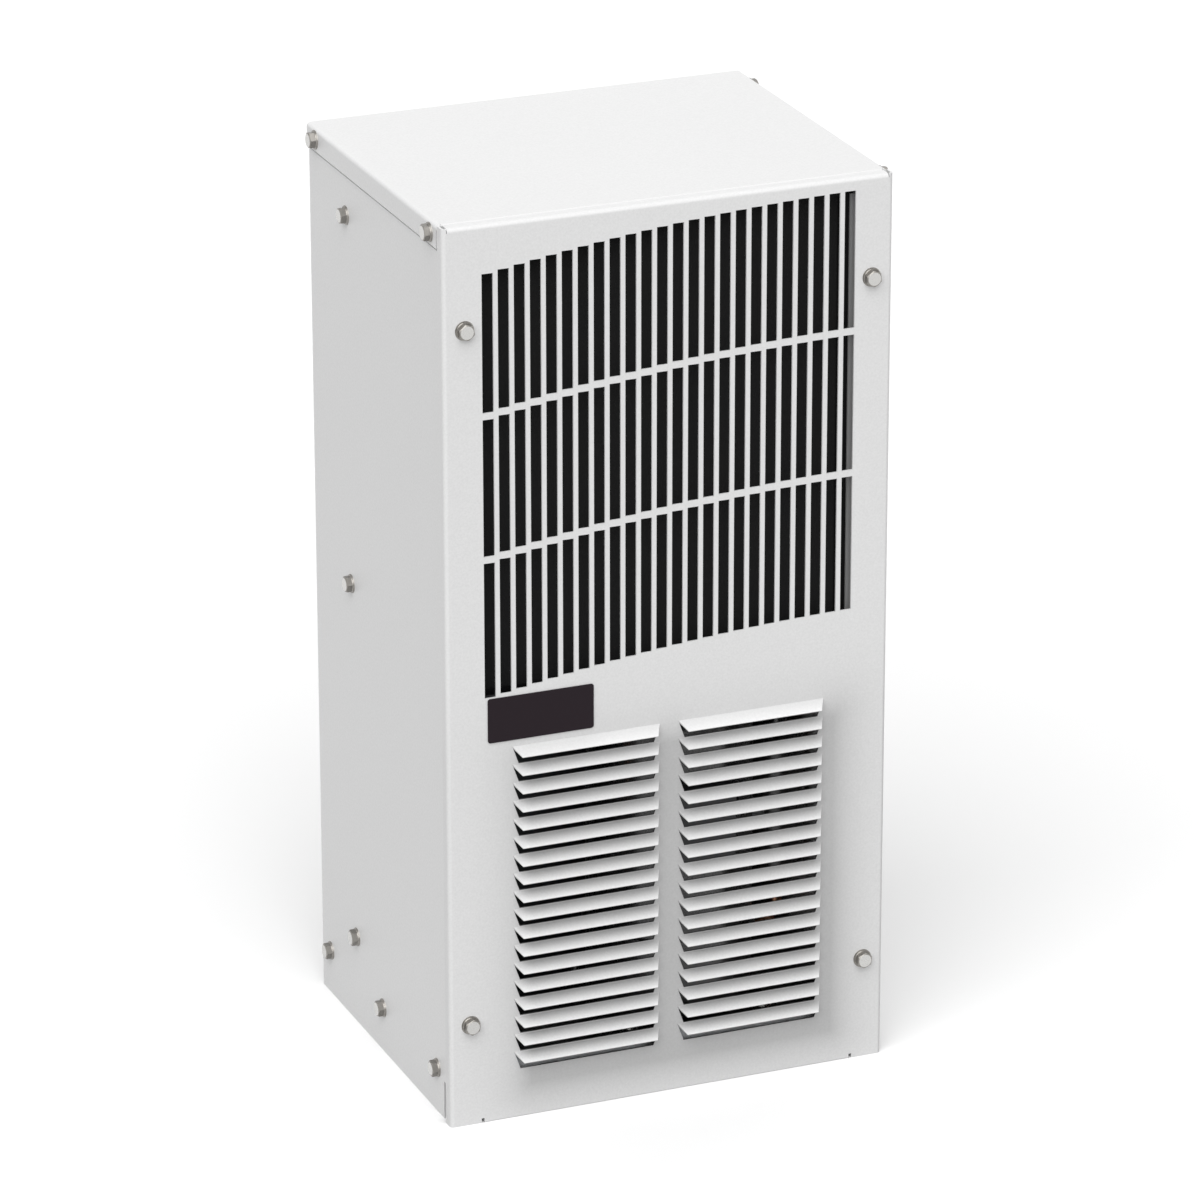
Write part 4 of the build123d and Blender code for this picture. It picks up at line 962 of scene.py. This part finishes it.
    def build(self) -> bpy.types.Object:
        """Makes the cover from its skin.

        Returns:
            The cover.
        """
        work = bmesh.new()
        work.from_mesh(self._pressed_face())
        self._folds(work)
        bmesh.ops.remove_doubles(work, verts=work.verts, dist=self.joint * MM)
        bmesh.ops.recalc_face_normals(work, faces=work.faces)
        flat = max(work.faces, key=lambda face: face.calc_area())
        if flat.normal.y > 0:
            bmesh.ops.reverse_faces(work, faces=work.faces)
        skin = mesh_from(work, "cover_skin")
        shape = on_stage("cover_skin", skin)
        drawn = shape.vertex_groups.new(name="drawn thinner")
        for vertex in skin.vertices:
            reach = (self.front - vertex.co.y / MM) / self.louvers["Louver Reach"]
            drawn.add([vertex.index], 1.0 - max(0.0, reach) * (1.0 - self.tip_share), "REPLACE")
        wall = {"thickness": self.sheet * MM, "offset": -1.0, "vertex_group": drawn.name}
        modify(shape, "SOLIDIFY", use_even_offset=True, **wall)
        mesh = evened(plain_mesh(shape))
        # The cover takes the paint with painted shade round its louvers
        return finish_piece("front_cover_sheet", mesh, "casing_paint", ["front_cover"], finish=VENT_COAT_PAINTED_SHADE)


@dataclass
class Screws:
    """Hex washer-head screws on the seats of one CAD node."""

    node: str
    axis: Vector
    round_steps: int = 48
    shank_steps: int = 16
    hex_steps: int = 6
    crease: float = 24.0
    crown_facing: float = 0.95
    head: Sizes = field(
        default_factory=lambda: {
            "Washer Radius": 5.3,
            "Washer Height": 1.0,
            "Rim Share": 0.45,
            "Rim Taper": 0.12,
            "Slope Inset": 0.3,
            "Slope Top Inset": 0.95,
            "Hex Across": 8.0,
            "Hex Height": 3.2,
            "Hex Sink": 0.02,
            "Cone Top Share": 0.445,
            "Cone Foot Share": 1.16,
            "Crown Share": 0.8,
            "Shank Radius": 2.4,
            "Shank Length": 10.5,
            "Turn Seed": 7,
        }
    )

    def _islands(self, work: bmesh.types.BMesh) -> list[list[Vector]]:
        """Finds the loose parts of a bmesh.

        Args:
            work: The bmesh.

        Returns:
            The corners of each part.
        """
        islands, left = [], set(work.verts)
        while left:
            island, edge = [], [left.pop()]
            while edge:
                vertex = edge.pop()
                island.append(vertex.co.copy())
                others = {link.other_vert(vertex) for link in vertex.link_edges} & left
                left -= others
                edge.extend(others)
            islands.append(island)
        return islands

    def _seats(self) -> bpy.types.Mesh:
        """Finds where the screws of the node sit.

        Returns:
            One point for each screw, under its washer, with the way it looks.
        """
        source = merged_copy(self.node)
        seats = []
        for corners in self._islands(source):
            low = Vector([min(c[i] for c in corners) for i in range(3)])
            high = Vector([max(c[i] for c in corners) for i in range(3)])
            centre = (low + high) / 2
            way = self.axis.copy()
            if abs(way.x) > 0.5:
                way.x = math.copysign(1.0, centre.x)
            height = (self.head["Washer Height"] + self.head["Hex Height"]) * MM
            reach = (high - low).dot(Vector([abs(v) for v in way])) / 2
            seats.append((centre + way * (reach - height), way))
        source.free()
        seats.sort(key=lambda seat: tuple(round(v, 5) for v in seat[0]))
        points = bpy.data.meshes.new(self.node + "_seats")
        points.from_pydata([seat[0] for seat in seats], [], [])
        ways = points.attributes.new("way", "FLOAT_VECTOR", "POINT")
        for entry, seat in zip(ways.data, seats):
            entry.vector = seat[1]
        return points

    def _screw(self, recipe: Recipe) -> Wire:
        """One screw with its seat at the origin, looking along z.

        Args:
            recipe: The tree to build in.

        Returns:
            The screw.
        """
        tree, size = recipe.tree, recipe.size
        washer, hexagon = size["Washer Radius"], size["Hex Height"]

        def cone(foot: Wire, top: Wire, height: Wire) -> Wire:
            """A cone without its tip, from its radii and height in millimetres."""
            sizes = {"Radius Bottom": foot * MM, "Radius Top": top * MM, "Depth": height * MM}
            return tree.node("GeometryNodeMeshCone", {"Vertices": self.round_steps, **sizes})

        def rod(steps: int, radius: Wire, height: Wire, middle: Wire) -> Wire:
            """An upright rod, from its radius, height and middle."""
            sizes = {"Vertices": steps, "Radius": radius, "Depth": height * MM}
            made = tree.node("GeometryNodeMeshCylinder", sizes)
            return tree.moved(made, tree.vector(0.0, 0.0, middle * MM))

        rim = cone(washer, washer - size["Rim Taper"], size["Washer Height"] * size["Rim Share"])
        slope = cone(washer - size["Slope Inset"], washer - size["Slope Top Inset"], size["Washer Height"])
        middle = size["Washer Height"] + hexagon * 0.5 - size["Hex Sink"]
        prism = rod(self.hex_steps, size["Hex Across"] * (MM / math.sqrt(3.0)), hexagon, middle)
        shares = (size["Hex Across"] * size[end] for end in ("Cone Foot Share", "Cone Top Share"))
        turned = tree.moved(cone(*shares, hexagon), tree.vector(0.0, 0.0, size["Washer Height"] * MM))
        head = tree.node(
            "GeometryNodeMeshBoolean", {"Mesh 2": [prism, turned]}, operation="INTERSECT", solver="EXACT"
        )
        length = size["Shank Length"]
        shank = rod(self.shank_steps, size["Shank Radius"] * MM, length, length * -0.5)
        # Painted shade: the flanks, washer and shank take the darker copy of the zinc, and only the crown
        # keeps the plain zinc
        flanks = tree.covered(tree.joined(rim, slope, head, shank), ZINC_FLANK_PAINTED_SHADE)
        facing = tree.parts_of(tree.node("GeometryNodeInputNormal"))[2]
        level = (size["Washer Height"] + hexagon * size["Crown Share"]) * MM
        crown = (facing * (tree.position()[2] / level).above(1.0)).above(self.crown_facing)
        return tree.covered(flanks, FINISHES["zinc_steel"], crown)

    def build(self) -> bpy.types.Object:
        """Makes the screws with Geometry Nodes.

        Returns:
            The screws of this node as one piece.
        """
        recipe = Recipe(self.node + "_heads", self.head)
        tree, size = recipe.tree, recipe.size
        screw = self._screw(recipe)
        way = tree.node("GeometryNodeInputNamedAttribute", {"Name": "way"}, data_type="FLOAT_VECTOR")
        turn = tree.node(
            "FunctionNodeRandomValue", {2: 0.0, 3: math.tau, "Seed": size["Turn Seed"]}, 1, data_type="FLOAT"
        )
        upright = tree.node("FunctionNodeAlignRotationToVector", {"Vector": way}, axis="Z")
        spun = tree.node(
            "FunctionNodeRotateRotation", {0: upright, 1: tree.vector(0.0, 0.0, turn)}, rotation_space="LOCAL"
        )
        recipe.close(tree.spread(recipe.seed, screw, spun))
        mesh = shaded(recipe.grow(self._seats()), self.crease)
        return finish_piece(self.node + "_zinc", mesh, "zinc_steel", [self.node])


@dataclass
class Casing:
    """The folded sheets round the front cover, with rounded edges, and the bare name plate."""

    edge: float = 0.2
    plate_edge: float = 0.3
    gasket_edge: float = 0.6
    round_steps: int = 3
    wall: float = 125.8
    side: float = 127.0
    front: float = -92.6
    flange_low: float = 495.3
    past: float = 1.0
    groove_depth: float = 0.9
    groove_length: float = 210.0
    groove_span: Span = (-1.8, 0.7)
    flange_sheet: float = 1.4
    flange_end: float = 1.1
    flange_head: float = 10.1
    foot_relief: float = 22.0
    relief_reach: float = 5.6
    relief_depth: float = 2.0
    notch_span: Span = (0.2, 2.8)
    notch_foot: float = 1.6
    pan_lip: float = 33.6
    pan_lip_reach: float = 7.6
    return_depth: float = 1.6
    return_reach: float = 12.6

    @staticmethod
    def _gap(sign: int, across: Span, along: Span, up: Span) -> Box:
        """A gap's box, mirrored to one side of the casing.

        Args:
            sign: -1 for the left side and 1 for the right one.
            across: How far from the middle it starts and ends.
            along: Its front and back.
            up: Its foot and head.

        Returns:
            Its lowest and highest corners.
        """
        near, far = sorted(sign * x for x in across)
        return (near, along[0], up[0]), (far, along[1], up[1])

    def _side_gaps(self, sign: int) -> list[Box]:
        """The gaps of one side panel.

        Args:
            sign: -1 for the left panel and 1 for the right one.

        Returns:
            The shadow line under the top panel's flange, and the relief at the foot.
        """
        front, out = self.front - self.past, self.wall + self.past
        line = (front, self.front + self.groove_length)
        groove = (self.flange_low + self.groove_span[0], self.flange_low + self.groove_span[1])
        relief = (front, self.front + self.relief_reach)
        return [
            self._gap(sign, (self.wall - self.groove_depth, out), line, groove),
            self._gap(sign, (self.wall - self.relief_depth, out), relief, (-self.past, self.foot_relief)),
        ]

    def _top_gaps(self) -> list[Box]:
        """The gaps at the front ends of the top panel's side flanges.

        Returns:
            The left gap and the right one.
        """
        across = (self.side - self.flange_sheet, self.side + self.past)
        along = (self.front - self.past, self.front + self.flange_end)
        up = (self.flange_low - self.past, self.flange_low + self.flange_head)
        return [self._gap(sign, across, along, up) for sign in (-1, 1)]

    def _shade_returns(self, mesh: bpy.types.Mesh) -> None:
        """Paints the return flange that stands behind the cover a darker grey, as painted shade.

        Args:
            mesh: A side panel's mesh.
        """
        mesh.materials.append(RETURN_FLANGE_SHADE.material())
        behind = (self.wall - self.return_depth) * MM
        back = (self.front + self.return_reach) * MM
        for face in mesh.polygons:
            if face.center.y < back and abs(face.center.x) < behind:
                face.material_index = 1

    def _pan(self) -> bpy.types.Mesh:
        """The bottom pan, whose front lip stays below the last louver but one.

        Returns:
            Its mesh.
        """
        across = (self.wall - self.notch_span[0], self.wall - self.notch_span[1])
        along = (self.front, self.front + self.relief_reach)
        up = (self.notch_foot, self.foot_relief)
        notches = [self._gap(sign, across, along, up) for sign in (-1, 1)]
        mesh = softened("bottom_pan", self.edge, gaps=notches)
        lip_back = (self.front + self.pan_lip_reach) * MM
        for vertex in mesh.vertices:
            if vertex.co.y < lip_back and vertex.co.z > self.pan_lip * MM:
                vertex.co.z = self.pan_lip * MM
        return mesh

    def build(self) -> None:
        """Makes the casing's pieces."""
        FrontCover().build()
        gaps = {
            "top_panel": self._top_gaps(),
            "left_side_panel": self._side_gaps(-1),
            "right_side_panel": self._side_gaps(1),
            "back_plate": [],
        }
        for node, cuts in gaps.items():
            mesh = softened(node, self.edge, gaps=cuts)
            finish_piece(node + "_coated", mesh, "casing_paint", [node])
            if "side" in node:
                # The return flanges get a darker grey as painted shade
                self._shade_returns(mesh)
        finish_piece("bottom_pan_sheet", self._pan(), "galvanised_sheet", ["bottom_pan"], finish=PAN_SHEET)
        plate = softened("name_plate", self.plate_edge, self.round_steps)
        finish_piece("name_plate_bare", plate, "name_plate", ["name_plate"])
        gasket = softened("rear_gasket", self.gasket_edge, self.round_steps)
        finish_piece("rear_gasket_foam", gasket, "gasket_foam", ["rear_gasket"])
        front, side = Vector((0, -1, 0)), Vector((1, 0, 0))
        for node, axis in (("cover_screws", front), ("top_screws", side), ("side_screws", side)):
            Screws(node, axis).build()


# Inner pieces


@dataclass
class EvaporatorFins:
    """The folded fins between the evaporator's upright flat tubes."""

    sheet: float = 0.14
    tube: float = 2.0
    crease: float = 20.0
    folds: Sizes = field(default_factory=lambda: {"Gap Count": 8, "Gap Pitch": 19.0, "Fold Count": 46})

    def build(self) -> bpy.types.Object:
        """Makes the fins with Geometry Nodes, one zigzag sheet for each gap.

        Returns:
            The fins.
        """
        low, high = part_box("evaporator_fins")
        sizes = {
            **self.folds,
            "Fin Length": (high.z - low.z) / MM,
            "Fin Depth": (high.y - low.y) / MM,
            "Fin Width": self.folds["Gap Pitch"] - self.tube - self.sheet,
        }
        recipe = Recipe("evaporator_folds", sizes)
        tree, size = recipe.tree, recipe.size
        rows = size["Fold Count"] * 2.0
        grid = {"Size X": 1.0, "Size Y": 1.0, "Vertices X": 2, "Vertices Y": rows + 1.0}
        sheet = tree.node("GeometryNodeMeshGrid", grid)
        deep, along, _ = tree.position()
        step = ((along + 0.5) * rows + 0.5).whole()
        side = step - (step / 2.0).whole() * 2.0 - 0.5
        pairs = ((side, "Fin Width"), (deep, "Fin Depth"), (along, "Fin Length"))
        folded = tree.shaped(sheet, tree.vector(*(share * size[label] * MM for share, label in pairs)))

        def gap_place(index: Wire) -> Wire:
            """A gap's centre from its index."""
            return tree.vector((index - (size["Gap Count"] - 1) / 2) * size["Gap Pitch"] * MM, 0.0, 0.0)

        packs = tree.spread(recipe.points(size["Gap Count"], gap_place), folded)
        recipe.close(tree.moved(packs, (low + high) / 2), FINISHES["fin_aluminium"])
        shape = on_stage("evaporator_folds", recipe.grow())
        modify(shape, "SOLIDIFY", thickness=self.sheet * MM, offset=0.0)
        mesh = shaded(plain_mesh(shape), self.crease)
        return finish_piece("evaporator_folded_fins", mesh, "fin_aluminium", ["evaporator_fins"])


@dataclass
class InnerPieces:
    """The CAD nodes that are shown as they are, and those that get rounded edges."""

    edged: dict[str, str] = field(
        default_factory=lambda: {
            "control_pocket": CABINET,
            "terminal_block": CABINET,
            "thermostat_knob": KNOB,
            "filter_frame": CABINET,
            "blower_inlet_ring": CABINET,
            "evaporator_brackets": CABINET,
        }
    )
    # The inner pieces that get nearly black galvanised sheet as painted shade
    painted_shade_nodes: tuple[str, ...] = ("electrical_box", "electrical_lid", "partition")

    def dress(self) -> None:
        """Gives every CAD node the finish of its material slot, or nearly black galvanised sheet as painted
        shade, and rounds the edges of those in view.
        """
        slots = {entry["node"]: entry["material_slot"] for entry in frame["record"]["subparts"]}
        for node, piece in frame["nodes"].items():
            # Painted shade: nearly black galvanised sheet for the pieces listed above
            finish = GALVANISED_PAINTED_SHADE if node in self.painted_shade_nodes else FINISHES[slots[node]]
            piece.data.materials.clear()
            piece.data.materials.append(finish.material())
            LOG.info("%s: dressed as %s", node, slots[node])
        for node, body in self.edged.items():
            finish_piece(node + "_edged", softened(node), slots[node], [node], body)


@dataclass
class ControlDial:
    """The tick marks round the thermostat knob, and the pointer on it."""

    centre: Span = (44.0, 262.0)
    floor: float = 77.1
    ink: float = 0.15
    pointer: Box = ((43.5, 88.3, 264.0), (44.5, 88.78, 272.6))
    end_steps: int = 8
    marks: Sizes = field(
        default_factory=lambda: {
            "Mark Count": 11,
            "Mark Ring": 14.9,
            "Mark Length": 2.6,
            "Mark Width": 0.55,
            "Full Turn": 270.0,
        }
    )

    def _ticks(self) -> None:
        """Makes the tick marks with Geometry Nodes."""
        recipe = Recipe("dial_marks", {**self.marks, "Ink": self.ink})
        tree, size = recipe.tree, recipe.size

        def turn_of(index: Wire) -> Wire:
            """How far a mark is turned from the top, in radians."""
            return (index / (size["Mark Count"] - 1) - 0.5) * size["Full Turn"] * (math.pi / 180.0)

        def mark_place(index: Wire) -> Wire:
            """A mark's place from its index."""
            turn = turn_of(index)
            across, up = turn.sine(), (turn + math.pi / 2).sine()
            return tree.vector(across * size["Mark Ring"] * MM, 0.0, up * size["Mark Ring"] * MM)

        edges = (size[label] * MM for label in ("Mark Width", "Ink", "Mark Length"))
        mark = tree.node("GeometryNodeMeshCube", {"Size": tree.vector(*edges)})
        index = tree.node("GeometryNodeInputIndex")
        points = recipe.points(size["Mark Count"], mark_place)
        placed = tree.spread(points, mark, tree.vector(0.0, turn_of(index), 0.0))
        middle = mm(self.centre[0], self.floor + self.ink / 2, self.centre[1])
        recipe.close(tree.moved(placed, middle), FINISHES["black_plastic"])
        finish_piece("dial_marks", recipe.grow(), "black_plastic")

    def _pointer(self) -> None:
        """Makes the inlaid line on the knob's grip."""
        low, high = mm(*self.pointer[0]), mm(*self.pointer[1])
        half = (high.x - low.x) / 2

        def build(work: bmesh.types.BMesh) -> None:
            """Adds the line with rounded ends.

            Args:
                work: The mesh to add it to.
            """
            ring = []
            for end, start in ((high.z - half, 0.0), (low.z + half, math.pi)):
                for step in range(self.end_steps + 1):
                    angle = start + math.pi * step / self.end_steps
                    ring.append((low.x + half + half * math.cos(angle), end + half * math.sin(angle)))
            back, face = ([work.verts.new((x, level, z)) for x, z in ring] for level in (low.y, high.y))
            work.faces.new(back)
            work.faces.new(face[::-1])
            for i in range(len(ring)):
                j = (i + 1) % len(ring)
                work.faces.new((back[j], back[i], face[i], face[j]))
            bmesh.ops.recalc_face_normals(work, faces=work.faces)

        finish_piece("knob_pointer", shaded(mesh_of(build)), "cream_plastic", body=KNOB, finish=WHITE_INK)

    def build(self) -> None:
        """Makes the marks and the pointer."""
        self._ticks()
        self._pointer()


# Studio


def way_to(azimuth: float, elevation: float) -> Vector:
    """The way from the object to something that stands round it.

    Args:
        azimuth: Degrees from the front, towards the right.
        elevation: Degrees above the floor.

    Returns:
        A vector of length 1.
    """
    a, e = math.radians(azimuth), math.radians(elevation)
    return Vector((math.sin(a) * math.cos(e), -math.cos(a) * math.cos(e), math.sin(e)))


@dataclass
class Studio:
    """The camera of the photograph, a pale floor and soft lamps."""

    azimuth: float = -22.18
    elevation: float = 21.173
    roll: float = 0.0835
    focal: float = 6720.68
    picture: float = 1200.0
    sensor: float = 36.0
    farthest: float = 50.0
    place: Corner = (-1287.7, -3160.7, 1572.6)
    sky: float = 0.38
    key: float = 0.945
    key_way: Span = (-30.0, 47.0)
    fill: float = 0.30
    fill_way: Span = (150.0, 12.0)
    spread: float = 76.0
    lamp_distance: float = 2.0
    floor_half: float = 8.0
    floor_bounce: float = 0.35
    floor_seen: float = 0.96

    def _camera(self) -> None:
        """Stands the camera where the photograph was taken from."""
        back = way_to(self.azimuth, self.elevation)
        right = Vector((0, 0, 1)).cross(back).normalized()
        spin = Matrix.Rotation(math.radians(-self.roll), 3, back)
        data = bpy.data.cameras.new("camera")
        data.sensor_width = self.sensor
        data.lens = self.focal / self.picture * self.sensor
        data.clip_end = self.farthest
        camera = bpy.data.objects.new("camera", data)
        camera.matrix_world = (spin @ Matrix((right, back.cross(right), back)).transposed()).to_4x4()
        camera.location = mm(*self.place)
        bpy.context.scene.collection.objects.link(camera)
        bpy.context.scene.camera = camera

    @staticmethod
    def _seen(tree: Tree, lit: float, seen: float) -> Wire:
        """A level that differs between what lights the object and what the camera sees.

        Args:
            tree: The tree to build in.
            lit: The level that lights the object.
            seen: The level that the camera sees, straight or in a reflection.

        Returns:
            The level for each ray.
        """
        paths = tree.node("ShaderNodeLightPath").socket.node.outputs
        unseen = 1.0
        for ray in ("Is Camera Ray", "Is Glossy Ray", "Is Transmission Ray"):
            unseen = (1.0 - Wire(tree, paths[ray])) * unseen
        return lit + (1.0 - unseen) * (seen - lit)

    def _floor(self) -> None:
        """Lays a plain white floor under the object."""

        def build(work: bmesh.types.BMesh) -> None:
            """Adds the floor."""
            bmesh.ops.create_grid(work, x_segments=4, y_segments=4, size=self.floor_half)

        floor = on_stage("floor", mesh_of(build, "floor"))
        made = bpy.data.materials.new("floor_white")
        made.use_nodes = True
        tree = Tree(made.node_tree)
        grey = tree.grey(self._seen(tree, self.floor_bounce, self.floor_seen))
        diffuse = tree.node("ShaderNodeBsdfDiffuse", {"Color": grey})
        tree.node("ShaderNodeOutputMaterial", {"Surface": diffuse})
        floor.data.materials.append(made)

    def _sky(self) -> None:
        """Puts an even sky round the object, which is white where the camera sees it."""
        world = bpy.data.worlds.new("studio")
        bpy.context.scene.world = world
        world.use_nodes = True
        tree = Tree(world.node_tree)
        strength = self._seen(tree, self.sky, 1.0)
        sky = tree.node("ShaderNodeBackground", {"Color": (1.0, 1.0, 1.0, 1.0), "Strength": strength})
        tree.node("ShaderNodeOutputWorld", {"Surface": sky})

    def _lamp(self, name: str, level: float, where: Span) -> bpy.types.Object:
        """Adds a wide soft lamp.

        Args:
            name: The lamp's name.
            level: How brightly it lights a surface that faces it, with 1 for white.
            where: Its azimuth and elevation in degrees.

        Returns:
            The lamp.
        """
        data = bpy.data.lights.new(name, "SUN")
        data.energy = level * math.pi
        data.angle = math.radians(self.spread)
        lamp = bpy.data.objects.new(name, data)
        way = way_to(*where)
        lamp.rotation_euler = way.to_track_quat("Z", "Y").to_euler()
        lamp.location = way * self.lamp_distance
        bpy.context.scene.collection.objects.link(lamp)
        return lamp

    def build(self) -> None:
        """Sets up the whole studio."""
        self._camera()
        self._floor()
        self._sky()
        self._lamp("key", self.key, self.key_way)
        self._lamp("fill", self.fill, self.fill_way).visible_glossy = False
        bpy.context.scene.view_settings.view_transform = "Standard"


def main() -> None:
    """Builds the pieces in order."""
    logging.basicConfig(level=logging.INFO, format="%(name)s: %(message)s")
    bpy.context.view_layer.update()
    Studio().build()
    InnerPieces().dress()
    Casing().build()
    EvaporatorFins().build()
    ControlDial().build()


if __name__ == "__main__":
    main()
